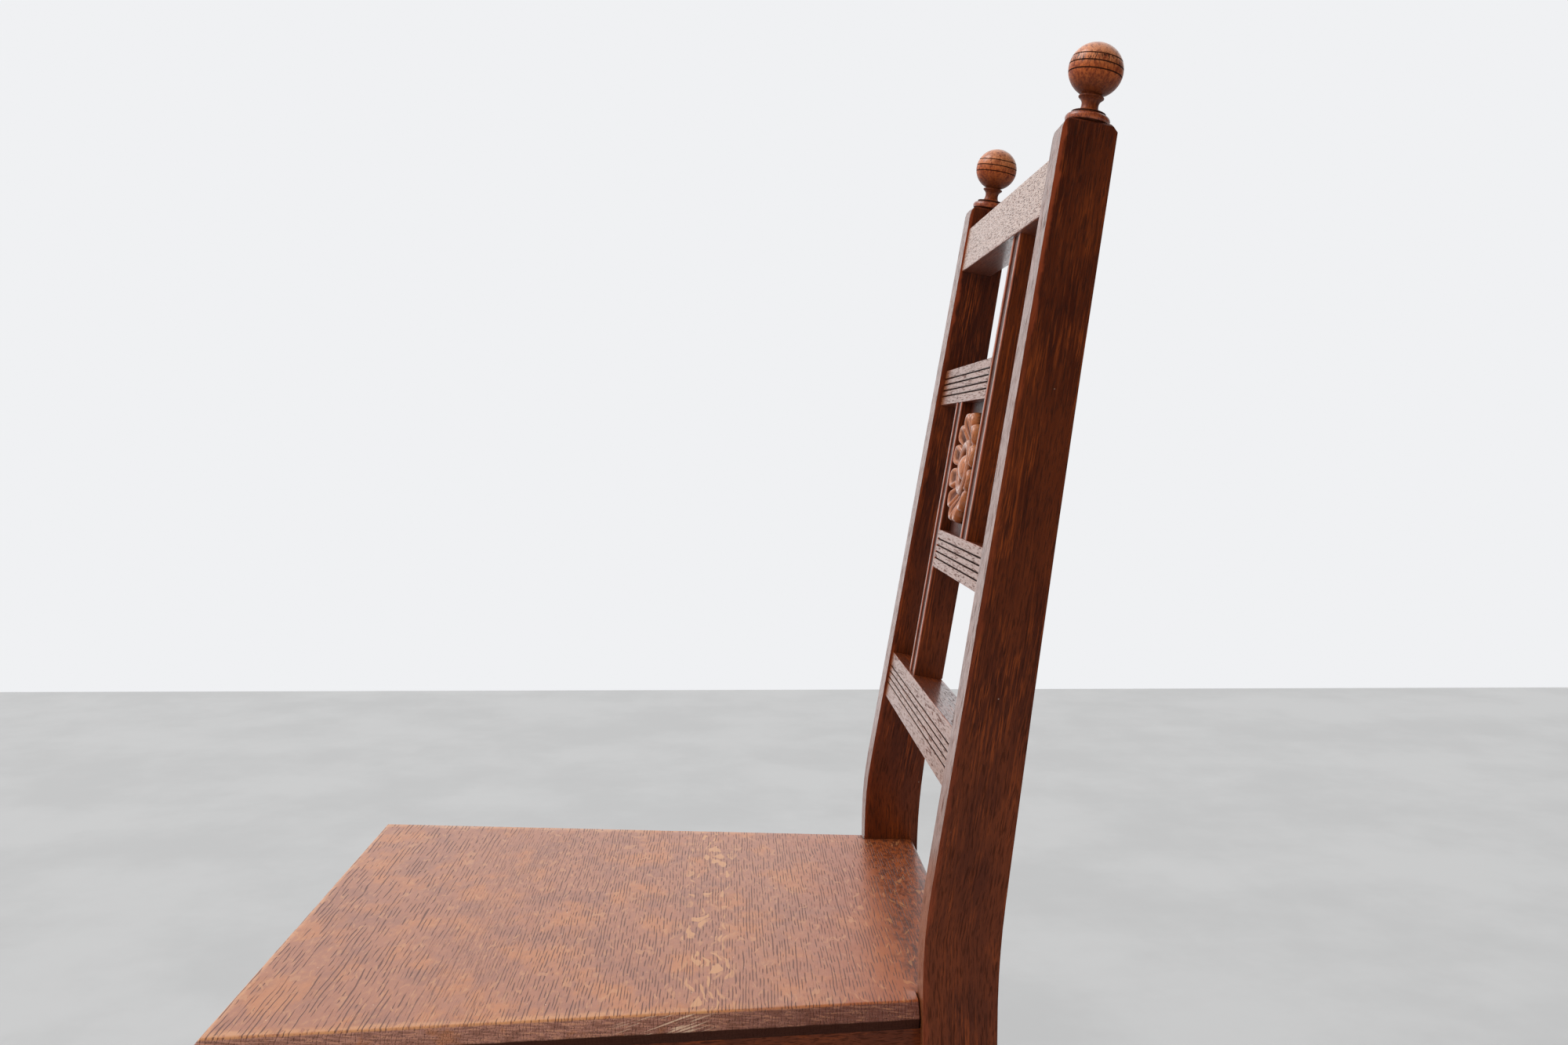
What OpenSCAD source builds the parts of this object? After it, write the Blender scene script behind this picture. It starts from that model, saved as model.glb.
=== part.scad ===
// Oak side chair with a solid seat and a pinwheel back round a carved rosette.
// Millimetres, +Z up. The chair faces -Y and stands on Z = 0.
// Left and right are the sitter's: left is +X, right is -X.
// Heights in the back are measured up the leaning posts, from the knee just above the seat.

/* [Overall] */
// Height of the seat top above the floor
seat_h = 451.5; // [430:0.5:470]
// Width over the outer faces of the back posts at the knee
post_span = 375; // [368:1:385]
// Backward lean of the back, in degrees
back_rake = 9.6; // [8:0.1:11]
// Inward lean of each back post, in degrees
post_splay = 2.4; // [1.8:0.1:2.8]

/* [Seat board] */
// Width of the seat along its front edge
seat_front_w = 454; // [446:1:462]
// Width of the seat where it meets the front faces of the back posts
seat_back_w = 365; // [360:1:370]
// Depth of the seat from its front edge to the back posts
seat_depth = 385; // [375:1:400]
// Length of the tongue of the seat that runs back between the posts
seat_tail = 37; // [34:0.5:38]
// Thickness of the seat board
seat_t = 15; // [14:0.5:17]
// Drop of the seat's widest line below its top
seat_band = 8.5; // [7:0.5:10]
// Inward slope of the bevel above the widest line
seat_bevel = 7; // [5:0.5:9]
// Inward slope of the undercut below the widest line
seat_undercut = 3; // [2:0.5:4]
// Easing of the arris at the very back of the seat
tail_ease = 1.5; // [1:0.5:2]
// Gap between the seat board and the back posts
seat_gap = 0.6; // [0.4:0.1:1]

/* [Back posts] */
// Thickness of a back post, side to side
post_t = 24.6; // [24:0.1:26]
// Height of the knee above the seat top
knee_h = 37.5; // [34:0.5:44]
// Length of the curve that eases the knee, above it and below it
knee_curve = 26; // [20:1:30]
// Length of a back post above the knee
post_rise = 454; // [448:1:460]
// Depth of a back post at the knee, front to back
knee_depth = 42.4; // [41:0.1:44]
// Depth of a back post at its top
top_depth = 30.3; // [29:0.1:32]
// Fullness of the curved back face above the knee, nought for a straight one
rear_curve = 0.5; // [0.3:0.1:0.6]
// Depth of a back post at the seat top
seat_level_depth = 41; // [40:0.1:42]
// Depth of a back post at the floor
foot_depth = 36; // [34:0.5:38]
// Depth of the rounded front corner and the bevelled back corner of the post tops
top_bevel = 4; // [3:0.1:4.5]
// Height of the rounded front corner of the post tops
front_round_h = 6.5; // [5:0.5:8]
// Bevel on the side arrises of the post tops
side_bevel = 1.2; // [0.6:0.1:1.6]

/* [Finials] */
// Diameter of the ball
ball_d = 30.2; // [28:0.1:32]
// Height of the ball's middle above the post top
ball_rise = 31; // [30:0.1:33]
// Diameter of the round base moulding
base_d = 25; // [24:0.1:26]
// Height of the round base moulding
base_h = 5.6; // [5:0.1:6]
// Diameter of the thin step on the base
step_d = 19.2; // [18:0.1:20]
// Height of the thin step
step_h = 1.4; // [1:0.1:1.6]
// Width of the ledge on top of the thin step
step_ledge = 1.6; // [1.2:0.1:1.8]
// Diameter of the neck where it is narrowest
neck_d = 9.4; // [9:0.1:10]
// Height of the narrowest part of the neck above the thin step
neck_rise = 2.8; // [2.4:0.1:3.2]
// Widening of the neck at its foot and its head
neck_flare = 1; // [0.8:0.1:1.2]
// Diameter of the collar under the ball
collar_d = 14.2; // [13:0.1:15]
// Height of the collar
collar_h = 1.3; // [1.2:0.1:1.6]
// Rounding of the collar's two edges
collar_round = 0.4; // [0.3:0.1:0.5]
// Diameter of the throat where it meets the ball
throat_d = 11.6; // [11:0.1:12.4]
// Height of the throat between the collar and the ball
throat_h = 0.8; // [0.6:0.1:1]
// Height of the topmost scribed line above the ball's middle
scribe_top = 5.5; // [5:0.1:6]
// Number of scribed lines
scribe_count = 3; // [2:1:3]
// Spacing of the scribed lines
scribe_pitch = 4.3; // [3.8:0.1:4.5]
// Depth and half width of a scribed line
scribe_cut = 0.5; // [0.3:0.1:0.6]
// Diameter of the spigot that enters the post
spigot_d = 10; // [9:0.5:11]
// Length of the spigot
spigot_len = 13; // [10:1:13]

/* [Back rails] */
// Height of the crest rail
crest_h = 32; // [30:0.5:34]
// Distance of the crest rail's top below the post tops
crest_drop = 18.5; // [17:0.5:20]
// Setback of the crest rail behind the post fronts
crest_set = 1.5; // [1:0.1:2]
// Height of the upper and lower reeded rails
reeded_h = 26; // [25:0.5:27]
// Level of the upper reeded rail's underside above the knee
upper_low = 302.5; // [300:0.5:305]
// Level of the lower reeded rail's underside above the knee
lower_low = 187.5; // [185:0.5:190]
// Height of the bottom reeded rail
bottom_h = 34; // [32:0.5:36]
// Level of the bottom rail's underside above the knee
bottom_low = 77; // [75:0.5:80]
// Setback of the upper and lower reeded rails and the slats behind the post fronts
rail_set = 4; // [3.5:0.1:4.5]
// Setback of the bottom rail behind the post fronts
bottom_set = 2; // [1.5:0.1:2.5]
// Depth of the rails, front to back
rail_depth = 22; // [21:0.5:23]

/* [Reeding] */
// Number of grooves in a reeded rail
reed_count = 4; // [3:1:4]
// Spacing of the grooves
reed_pitch = 4.4; // [4.1:0.1:4.6]
// Width of a groove at its floor
reed_w = 0.9; // [0.7:0.1:1.1]
// Depth of a groove
reed_cut = 1.7; // [1.2:0.1:2]
// Easing on the lips of a groove
reed_lip = 0.4; // [0.2:0.1:0.5]

/* [Slats] */
// Distance of each slat's middle from the middle of the chair
slat_off = 58; // [56:0.5:60]
// Width of a slat
slat_w = 24; // [23:0.5:25]
// Depth of a slat, front to back
slat_depth = 20.3; // [20:0.1:21]
// Width of the two fillets that border the sunk front of a slat
slat_fillet = 4.5; // [4:0.1:5.5]
// Depth of the sunk front of a slat
slat_sink = 1.1; // [0.8:0.1:1.5]

/* [Carved panel] */
// Depth of the carved ground behind the rail fronts
ground_sink = 7; // [6:0.5:8]
// Thickness of the panel board behind the ground
panel_t = 7; // [6:0.5:8]
// Length of the tongue on all four edges
panel_tongue = 5; // [4:0.5:5.5]
// Number of petals in the rosette
petal_count = 12; // [10:1:12]
// Radius from the middle of the rosette to the middle of each petal's tip
petal_tip_r = 30; // [29.5:0.1:30.5]
// Width of a petal at its tip
petal_tip_w = 15; // [14.4:0.1:15.2]
// Radius where each petal starts
petal_root_r = 17; // [16:0.5:18]
// Width of a petal at its start
petal_root_w = 8; // [7.6:0.1:8.4]
// Radius of the hollow scooped in each petal
scoop_r = 10; // [9:0.5:12]
// Depth of the hollow
scoop_cut = 1.6; // [1.2:0.1:2]
// Distance of the hollow's middle inside the middle of the petal's tip
scoop_in = 1; // [0:0.5:2]
// Radius of the ring round the boss
ring_r = 15.5; // [15:0.1:16]
// Thickness of the ring
ring_w = 7; // [6.4:0.1:7.4]
// Height of the ring's middle above the ground
ring_lift = 3; // [2.6:0.1:3.4]
// Diameter of the boss at the ground
boss_d = 18.6; // [17:0.1:19.5]
// Height of the boss above the ground
boss_h = 8.6; // [7.5:0.1:9]

/* [Front legs] */
// Side of the square front leg
leg_w = 36; // [34:1:38]
// Distance of the leg fronts behind the seat's front edge
leg_inset = 12; // [10:1:14]
// Distance of the legs' outer faces inside the seat's front corners
leg_side_in = 7; // [6:0.5:8]
// Chamfer round the foot of each leg
foot_ease = 2; // [1:0.5:3]

/* [Aprons] */
// Height of the aprons
apron_h = 60; // [54:1:66]
// Thickness of the aprons
apron_t = 18; // [17:1:19]
// Setback of the front apron behind the leg fronts
apron_set = 4; // [3:0.5:5]
// Distance of the side aprons inside the seat's side edges
side_apron_in = 3.5; // [3:0.5:4]
// Distance of the side apron's rear tenon inside its outer face
side_tenon_in = 1; // [0.5:0.5:1.5]
// Distance of the rear apron behind the post fronts
rear_apron_in = 11; // [10:0.5:12]

/* [Stretchers] */
// Height of a stretcher
stretcher_h = 26; // [22:1:30]
// Thickness of a stretcher
stretcher_t = 18; // [16:1:20]
// Level of the side stretchers' undersides above the floor
side_stretcher_low = 95; // [90:1:110]
// Level of the front and rear stretchers' undersides above the floor
cross_stretcher_low = 150; // [145:1:190]

/* [Joints] */
// Thickness of the tenons
tenon_t = 8; // [7:0.5:9]
// Shoulder above and below the tenons of the tall members
tenon_shoulder = 6; // [5:0.5:7]
// Shoulder above and below the tenons that enter slats, and on the slat ends
small_shoulder = 7.5; // [7:0.5:8]
// Length of the tenons that enter the back posts
post_tenon = 16; // [14:0.5:17]
// Length of the tenons that enter the front legs from the side
leg_tenon = 18; // [16:0.5:19]
// Length of the tenons of the side aprons and side stretchers
side_tenon = 12; // [10:0.5:13]
// Length of the tenons in the slats and the back rails
slat_tenon = 12; // [10:0.5:13]
// Shoulder on the outer side of the tenons on the slat ends
slat_shoulder = 3; // [2.5:0.5:3.5]
// Wood left between the panel's groove and the tenons on the slat ends
groove_wall = 0.5; // [0.4:0.1:0.8]
// Glue clearance round every tenon and spigot
glue_gap = 0.1; // [0.05:0.05:0.3]
// Extra depth at the bottom of every mortise
mortise_relief = 1; // [0.5:0.1:1.5]

/* [Corner blocks and screws] */
// Length of a corner block along each apron
block_leg = 48; // [44:1:56]
// Length of a rear block along each apron
rear_block_leg = 40; // [36:1:44]
// Height of the blocks
block_h = 30; // [26:1:34]
// Width of the blunt ends of the blocks
block_edge = 8; // [6:1:9]
// Shank diameter of the screws
screw_d = 4; // [3.5:0.5:4.5]
// Head diameter of the screws
screw_head_d = 8; // [7:0.5:9]
// Length of the screws
screw_len = 36; // [34:1:38]
// Clearance round a screw in its hole
screw_gap = 0.15; // [0.1:0.05:0.3]
// Distance of the block screws from the front legs
screw_in = 29; // [26:1:31]
// Depth that the block screws enter the aprons
screw_bite = 13.5; // [12:0.5:14]
// Depth that the heads of the seat screws are sunk in the blocks
screw_sink = 2; // [1:0.5:3]
// Distance of the front seat screws behind the legs
seat_screw_front = 12; // [10:1:14]
// Distance of the rear seat screws from the side aprons
seat_screw_rear = 13; // [11:1:15]

/* [View] */
// Piece to draw

/* [Hidden] */
$fn = 96;
knee_steps = 4;
round_steps = 3;
big = 1200;
over = 1;
seat_tone = [0.56, 0.3, 0.19];
post_tone = [0.33, 0.13, 0.07];
rail_tone = [0.4, 0.17, 0.09];
turned_tone = [0.5, 0.22, 0.1];
carved_tone = [0.55, 0.26, 0.13];
block_tone = [0.6, 0.42, 0.25];
steel_tone = [0.6, 0.6, 0.58];
knee_z = seat_h + knee_h;
half_span = post_span / 2;
ball_r = ball_d / 2;
axis_v = top_depth / 2;
ball_u = post_rise + ball_rise;
ball_y = ball_u * sin(back_rake) + axis_v * cos(back_rake);
back_reach = ball_y + ball_r;
mid_shift = (seat_depth - back_reach) / 2;
crest_low = post_rise - crest_drop - crest_h;
panel_low = lower_low + reeded_h;
panel_mid = (panel_low + upper_low) / 2;
slat_in = slat_off - slat_w / 2;
slat_out = slat_off + slat_w / 2;
slat_tenon_in = slat_in + panel_tongue + mortise_relief + groove_wall;
slat_tenon_w = slat_out - slat_shoulder - slat_tenon_in;
slat_tenon_v = rail_set + (slat_depth - tenon_t) / 2;
ground_v = rail_set + ground_sink;
side_run = (seat_front_w - seat_back_w) / 2 / seat_depth;
side_angle = atan(side_run);
leg_front = -seat_depth + leg_inset;
leg_back = leg_front + leg_w;
leg_out = seat_front_w / 2 - leg_side_in;
leg_in = leg_out - leg_w;
apron_top = seat_h - seat_t;
apron_low = apron_top - apron_h;
apron_front = leg_front + apron_set;
stretcher_post_x = half_span + (knee_z - side_stretcher_low) * tan(post_splay) - post_t / 2;
stretcher_leg_x = leg_out - leg_w / 2;
block_z = apron_top - block_h;
apron_wide = apron_t / cos(side_angle);

function raked(v, u) = [u * sin(back_rake) + v * cos(back_rake), u * cos(back_rake) - v * sin(back_rake)];
function toward(a, b, run) = a + (b - a) * run / norm(b - a);
function eased(a, knee, b) = [
    for (i = [0 : knee_steps])
        let (t = i / knee_steps)
            pow(1 - t, 2) * toward(knee, a, knee_curve) + 2 * t * (1 - t) * knee
                + pow(t, 2) * toward(knee, b, knee_curve)
];
function rear_v(w) = knee_depth - (knee_depth - top_depth) * w * (1 + rear_curve * (1 - w));
function inner_x(z) = half_span - post_t / cos(post_splay) - (z - knee_z) * tan(post_splay);
function side_x(y) = seat_back_w / 2 - y * side_run;
function apron_x(y) = side_x(y) - side_apron_in - apron_wide;

module place() {
    translate([0, mid_shift, 0])
        children();
}

module in_back() {
    translate([0, 0, knee_z])
        rotate([-back_rake, 0, 0])
            children();
}

module at_post(side) {
    translate([side * half_span, 0, knee_z])
        rotate([0, -side * post_splay, 0])
            translate([-side * post_t / 2, 0, 0])
                children();
}

module between_posts(reach, part = 0) {
    low = inner_x(0) + reach;
    high = inner_x(big) + reach;
    rotate([90, 0, 0])
        linear_extrude(big, center = true)
            polygon([
                [part > 0 ? 0 : -low, 0], [part < 0 ? 0 : low, 0],
                [part < 0 ? 0 : high, big], [part > 0 ? 0 : -high, big]
            ]);
}

module back_box(x0, x1, v, depth, low, tall) {
    in_back()
        translate([x0, v, low])
            cube([x1 - x0, depth, tall]);
}

module reeds(x0, x1, set, low, tall) {
    lowest = low + tall / 2 - (reed_count - 1) * reed_pitch / 2;
    in_back()
        for (i = [0 : reed_count - 1])
            translate([x0, set, lowest + i * reed_pitch])
                rotate([90, 0, 90])
                    linear_extrude(x1 - x0)
                        polygon([
                            [-over, -reed_w / 2 - reed_lip], [0, -reed_w / 2 - reed_lip],
                            [reed_lip, -reed_w / 2], [reed_cut, -reed_w / 2],
                            [reed_cut, reed_w / 2], [reed_lip, reed_w / 2],
                            [0, reed_w / 2 + reed_lip], [-over, reed_w / 2 + reed_lip]
                        ]);
}

module post_tenons(low, tall, v, depth, shoulder, g, part = 0) {
    intersection() {
        back_box(-big / 2, big / 2, v + (depth - tenon_t) / 2 - g, tenon_t + 2 * g,
            low + shoulder - g, tall - 2 * shoulder + 2 * g);
        between_posts(post_tenon + (g > 0 ? mortise_relief : 0), part);
    }
}

module crest_tenons(g) {
    post_tenons(crest_low, crest_h, crest_set, rail_depth, tenon_shoulder, g);
}

module upper_post_tenon(g) {
    post_tenons(upper_low, reeded_h, rail_set, rail_depth, small_shoulder, g, -1);
}

module lower_post_tenon(g) {
    post_tenons(lower_low, reeded_h, rail_set, rail_depth, small_shoulder, g, 1);
}

module bottom_tenons(g) {
    post_tenons(bottom_low, bottom_h, bottom_set, rail_depth, tenon_shoulder, g);
}

module upper_slat_tenon(g) {
    reach = slat_tenon + (g > 0 ? mortise_relief : 0);
    back_box(slat_in - over, slat_in + reach,
        rail_set + (rail_depth - tenon_t) / 2 - g, tenon_t + 2 * g,
        upper_low + small_shoulder - g, reeded_h - 2 * small_shoulder + 2 * g);
}

module lower_slat_tenon(g) {
    reach = slat_tenon + (g > 0 ? mortise_relief : 0);
    back_box(-slat_in - reach, -slat_in + over,
        rail_set + (rail_depth - tenon_t) / 2 - g, tenon_t + 2 * g,
        lower_low + small_shoulder - g, reeded_h - 2 * small_shoulder + 2 * g);
}

module slat_end_tenon(side, level, up, g) {
    reach = slat_tenon + (g > 0 ? mortise_relief : 0);
    near = slat_tenon_in - g;
    back_box(side > 0 ? near : -near - slat_tenon_w - 2 * g,
        side > 0 ? near + slat_tenon_w + 2 * g : -near,
        slat_tenon_v - g, tenon_t + 2 * g,
        up > 0 ? level - over : level - reach, reach + over);
}

module panel_board(g) {
    edge = panel_tongue + (g > 0 ? mortise_relief / 2 : 0);
    back_box(-slat_in - edge, slat_in + edge, ground_v - g, panel_t + 2 * g,
        panel_low - edge, upper_low - panel_low + 2 * edge);
}

module slat_body(side, low, high) {
    difference() {
        back_box(side * slat_off - slat_w / 2, side * slat_off + slat_w / 2,
            rail_set, slat_depth, low, high - low);
        back_box(side * slat_off - slat_w / 2 + slat_fillet,
            side * slat_off + slat_w / 2 - slat_fillet,
            rail_set - over, slat_sink + over, low - over, high - low + 2 * over);
    }
}

module side_prism(side, out_near, out_far, y_near, y_far, wide, low, tall) {
    translate([0, 0, low])
        linear_extrude(tall)
            polygon([
                [side * out_near, y_near], [side * out_far, y_far],
                [side * (out_far - wide), y_far], [side * (out_near - wide), y_near]
            ]);
}

module side_apron_tenons(side, g) {
    reach = side_tenon + (g > 0 ? mortise_relief : 0);
    wide = tenon_t / cos(side_angle) + 2 * g;
    inset = side_apron_in + (apron_wide - wide) / 2;
    low = apron_low + tenon_shoulder - g;
    tall = apron_h - 2 * tenon_shoulder + 2 * g;
    rear_out = side_x(0) - side_apron_in - side_tenon_in + g;
    side_prism(side, side_x(leg_back + over) - inset, side_x(leg_back - reach) - inset,
        leg_back + over, leg_back - reach, wide, low, tall);
    side_prism(side, rear_out, rear_out, reach, -over, tenon_t + 2 * g, low, tall);
}

module side_stretcher_bar(side, grow, wide, low, tall) {
    slope = (stretcher_leg_x - stretcher_post_x) / leg_back;
    side_prism(side, stretcher_post_x + slope * grow + wide / 2,
        stretcher_leg_x - slope * grow + wide / 2, grow, leg_back - grow, wide, low, tall);
}

module side_stretcher_tenons(side, g) {
    side_stretcher_bar(side, side_tenon + (g > 0 ? mortise_relief : 0), tenon_t + 2 * g,
        side_stretcher_low + tenon_shoulder - g, stretcher_h - 2 * tenon_shoulder + 2 * g);
}

module rear_apron_tenons(g) {
    intersection() {
        translate([-big / 2, rear_apron_in + (apron_t - tenon_t) / 2 - g, apron_low + tenon_shoulder - g])
            cube([big, tenon_t + 2 * g, apron_h - 2 * tenon_shoulder + 2 * g]);
        between_posts(post_tenon + (g > 0 ? mortise_relief : 0));
    }
}

module rear_stretcher_tenons(g) {
    intersection() {
        translate([-big / 2, rear_apron_in + (stretcher_t - tenon_t) / 2 - g,
            cross_stretcher_low + tenon_shoulder - g])
            cube([big, tenon_t + 2 * g, stretcher_h - 2 * tenon_shoulder + 2 * g]);
        between_posts(post_tenon + (g > 0 ? mortise_relief : 0));
    }
}

module leg_cross_tenons(front, wide, low, tall, g) {
    reach = leg_tenon + (g > 0 ? mortise_relief : 0);
    translate([-leg_in - reach, front + (wide - tenon_t) / 2 - g, low + tenon_shoulder - g])
        cube([2 * (leg_in + reach), tenon_t + 2 * g, tall - 2 * tenon_shoulder + 2 * g]);
}

module front_apron_tenons(g) {
    leg_cross_tenons(apron_front, apron_t, apron_low, apron_h, g);
}

module front_stretcher_tenons(g) {
    leg_cross_tenons(leg_front + (leg_w - stretcher_t) / 2, stretcher_t,
        cross_stretcher_low, stretcher_h, g);
}

module post_side() {
    steps = 10;
    back = [for (i = [0 : steps]) raked(rear_v(i / steps), post_rise * i / steps)];
    turn = 90 / round_steps;
    top_front = [
        for (i = [0 : round_steps])
            raked(top_bevel * (1 - cos(turn * i)), post_rise - front_round_h * (1 - sin(turn * i)))
    ];
    top_end = raked(top_depth - top_bevel, post_rise);
    top_back = raked(top_depth, post_rise - top_bevel);
    upper = [for (i = [1 : steps - 1]) back[steps - i]];
    seat_level = [seat_level_depth, -knee_h];
    polygon(concat(
        [[0, -knee_z - post_t]],
        eased([0, -knee_z], [0, 0], raked(0, post_rise)),
        top_front,
        [top_end, top_back],
        upper,
        eased(back[1], back[0], seat_level),
        [seat_level, [foot_depth, -knee_z], [foot_depth, -knee_z - post_t]]
    ));
}

module post_blank(side) {
    at_post(side)
        difference() {
            translate([-post_t / 2, 0, 0])
                rotate([90, 0, 90])
                    linear_extrude(post_t)
                        post_side();
            rotate([-back_rake, 0, 0])
                for (s = [-1, 1])
                    translate([s * post_t / 2, 0, post_rise])
                        rotate([90, 0, 0])
                            linear_extrude(big, center = true)
                                polygon([
                                    [s * over, over], [-s * side_bevel, over], [-s * side_bevel, 0],
                                    [0, -side_bevel], [s * over, -side_bevel]
                                ]);
        }
}

module finial_at(side) {
    at_post(side)
        rotate([-back_rake, 0, 0])
            translate([0, axis_v, post_rise])
                children();
}

module spigot(g) {
    translate([0, 0, -spigot_len - (g > 0 ? mortise_relief : 0)])
        cylinder(h = spigot_len + (g > 0 ? mortise_relief : 0), d = spigot_d + 2 * g);
}

module back_post(side) {
    difference() {
        intersection() {
            post_blank(side);
            translate([-big / 2, -big / 2, 0])
                cube([big, big, big]);
        }
        finial_at(side)
            spigot(glue_gap);
        crest_tenons(glue_gap);
        bottom_tenons(glue_gap);
        if (side > 0)
            lower_post_tenon(glue_gap);
        if (side < 0)
            upper_post_tenon(glue_gap);
        rear_apron_tenons(glue_gap);
        rear_stretcher_tenons(glue_gap);
        side_apron_tenons(side, glue_gap);
        side_stretcher_tenons(side, glue_gap);
    }
}

module scribe(level) {
    translate([sqrt(pow(ball_r, 2) - pow(level, 2)), ball_rise + level])
        rotate(asin(level / ball_r))
            polygon([[-scribe_cut, 0], [scribe_cut, scribe_cut], [scribe_cut, -scribe_cut]]);
}

module finial_turning() {
    neck_low = base_h + step_h;
    neck_mid = neck_low + neck_rise;
    ball_foot = ball_rise - sqrt(pow(ball_r, 2) - pow(throat_d / 2, 2));
    collar_top = ball_foot - throat_h;
    collar_low = collar_top - collar_h;
    bead_r = base_h / 2;
    bead_x = base_d / 2 - bead_r;
    rotate_extrude()
        difference() {
            union() {
                polygon([
                    [0, 0], [bead_x, 0], [bead_x, base_h],
                    [step_d / 2, base_h], [step_d / 2, neck_low], [step_d / 2 - step_ledge, neck_low],
                    [neck_d / 2 + neck_flare, neck_low + neck_flare], [neck_d / 2, neck_mid],
                    [neck_d / 2, neck_mid + neck_flare],
                    [neck_d / 2 + neck_flare, collar_low - neck_flare],
                    [collar_d / 2 - collar_round, collar_low],
                    [collar_d / 2, collar_low + collar_round],
                    [collar_d / 2, collar_top - collar_round],
                    [collar_d / 2 - collar_round, collar_top],
                    [throat_d / 2, ball_foot], [0, ball_rise]
                ]);
                translate([bead_x, bead_r])
                    circle(r = bead_r);
                intersection() {
                    translate([0, ball_rise])
                        circle(r = ball_r);
                    translate([0, ball_rise - ball_r])
                        square([ball_r, 2 * ball_r]);
                }
            }
            for (i = [0 : scribe_count - 1])
                scribe(scribe_top - i * scribe_pitch);
        }
}

module finial(side) {
    finial_at(side)
        union() {
            finial_turning();
            spigot(0);
        }
}

module crest_body() {
    difference() {
        union() {
            intersection() {
                back_box(-big / 2, big / 2, crest_set, rail_depth, crest_low, crest_h);
                between_posts(0);
            }
            crest_tenons(0);
        }
        slat_end_tenon(1, crest_low, 1, glue_gap);
    }
}

module upper_body() {
    difference() {
        union() {
            intersection() {
                back_box(-big / 2, slat_in, rail_set, rail_depth, upper_low, reeded_h);
                between_posts(0);
            }
            upper_post_tenon(0);
            upper_slat_tenon(0);
        }
        reeds(-half_span, slat_in + over, rail_set, upper_low, reeded_h);
        slat_end_tenon(-1, upper_low, 1, glue_gap);
        panel_board(glue_gap);
    }
}

module lower_body() {
    difference() {
        union() {
            intersection() {
                back_box(-slat_in, big / 2, rail_set, rail_depth, lower_low, reeded_h);
                between_posts(0);
            }
            lower_post_tenon(0);
            lower_slat_tenon(0);
        }
        reeds(-slat_in - over, half_span, rail_set, lower_low, reeded_h);
        slat_end_tenon(1, panel_low, -1, glue_gap);
        panel_board(glue_gap);
    }
}

module bottom_body() {
    difference() {
        union() {
            intersection() {
                back_box(-big / 2, big / 2, bottom_set, rail_depth, bottom_low, bottom_h);
                between_posts(0);
            }
            bottom_tenons(0);
        }
        reeds(-half_span, half_span, bottom_set, bottom_low, bottom_h);
        slat_end_tenon(-1, bottom_low + bottom_h, -1, glue_gap);
    }
}

module slat_left_body() {
    difference() {
        union() {
            slat_body(1, panel_low, crest_low);
            slat_end_tenon(1, crest_low, 1, 0);
            slat_end_tenon(1, panel_low, -1, 0);
        }
        upper_slat_tenon(glue_gap);
        panel_board(glue_gap);
    }
}

module slat_right_body() {
    difference() {
        union() {
            slat_body(-1, bottom_low + bottom_h, upper_low);
            slat_end_tenon(-1, upper_low, 1, 0);
            slat_end_tenon(-1, bottom_low + bottom_h, -1, 0);
        }
        lower_slat_tenon(glue_gap);
        panel_board(glue_gap);
    }
}

module petal() {
    tip_r = petal_tip_w / 2;
    difference() {
        union() {
            translate([petal_root_r, 0, 0])
                rotate([0, 90, 0])
                    cylinder(h = petal_tip_r - petal_root_r, r1 = petal_root_w / 2, r2 = tip_r);
            translate([petal_tip_r, 0, 0])
                sphere(r = tip_r);
        }
        translate([petal_tip_r - scoop_in, 0, tip_r + scoop_r - scoop_cut])
            sphere(r = scoop_r);
    }
}

module rosette() {
    boss_r = (pow(boss_d / 2, 2) + pow(boss_h, 2)) / (2 * boss_h);
    bury = 1;
    intersection() {
        union() {
            for (i = [0 : petal_count - 1])
                rotate((i + 0.5) * 360 / petal_count)
                    petal();
            translate([0, 0, ring_lift])
                rotate_extrude()
                    translate([ring_r, 0])
                        circle(d = ring_w);
            translate([0, 0, boss_h - boss_r])
                sphere(r = boss_r);
        }
        translate([0, 0, -bury])
            cylinder(h = 2 * boss_h, r = petal_tip_r + petal_tip_w);
    }
}

module panel_body() {
    panel_board(0);
    in_back()
        translate([0, ground_v, panel_mid])
            rotate([90, 0, 0])
                rosette();
}

module seat_profile() {
    polygon([[seat_bevel, 0], [big, 0], [big, -seat_t], [seat_undercut, -seat_t], [0, -seat_band]]);
}

module seat_front() {
    rear = seat_depth + seat_tail;
    translate([0, -seat_depth, seat_h])
        rotate([90, 0, 90])
            linear_extrude(big, center = true)
                intersection() {
                    seat_profile();
                    polygon([
                        [-over, over], [rear - tail_ease - over, over], [rear, -tail_ease],
                        [rear, -big], [-over, -big]
                    ]);
                }
}

module seat_side(side) {
    translate([side * side_x(-seat_depth), -seat_depth, seat_h])
        rotate([0, 0, side * (90 + side_angle)])
            rotate([90, 0, 90])
                linear_extrude(big, center = true)
                    seat_profile();
}

module seat_body() {
    tail_x = inner_x(seat_h) - seat_gap;
    difference() {
        intersection() {
            seat_front();
            seat_side(1);
            seat_side(-1);
        }
        for (s = [-1, 1])
            translate([s > 0 ? tail_x : -big / 2, -seat_gap, 0])
                cube([big / 2 - tail_x, big / 2, big]);
        seat_screw_set(screw_gap);
    }
}

module leg_outline() {
    polygon([
        [foot_ease, 0], [leg_w - foot_ease, 0], [leg_w, foot_ease],
        [leg_w, apron_top], [0, apron_top], [0, foot_ease]
    ]);
}

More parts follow.
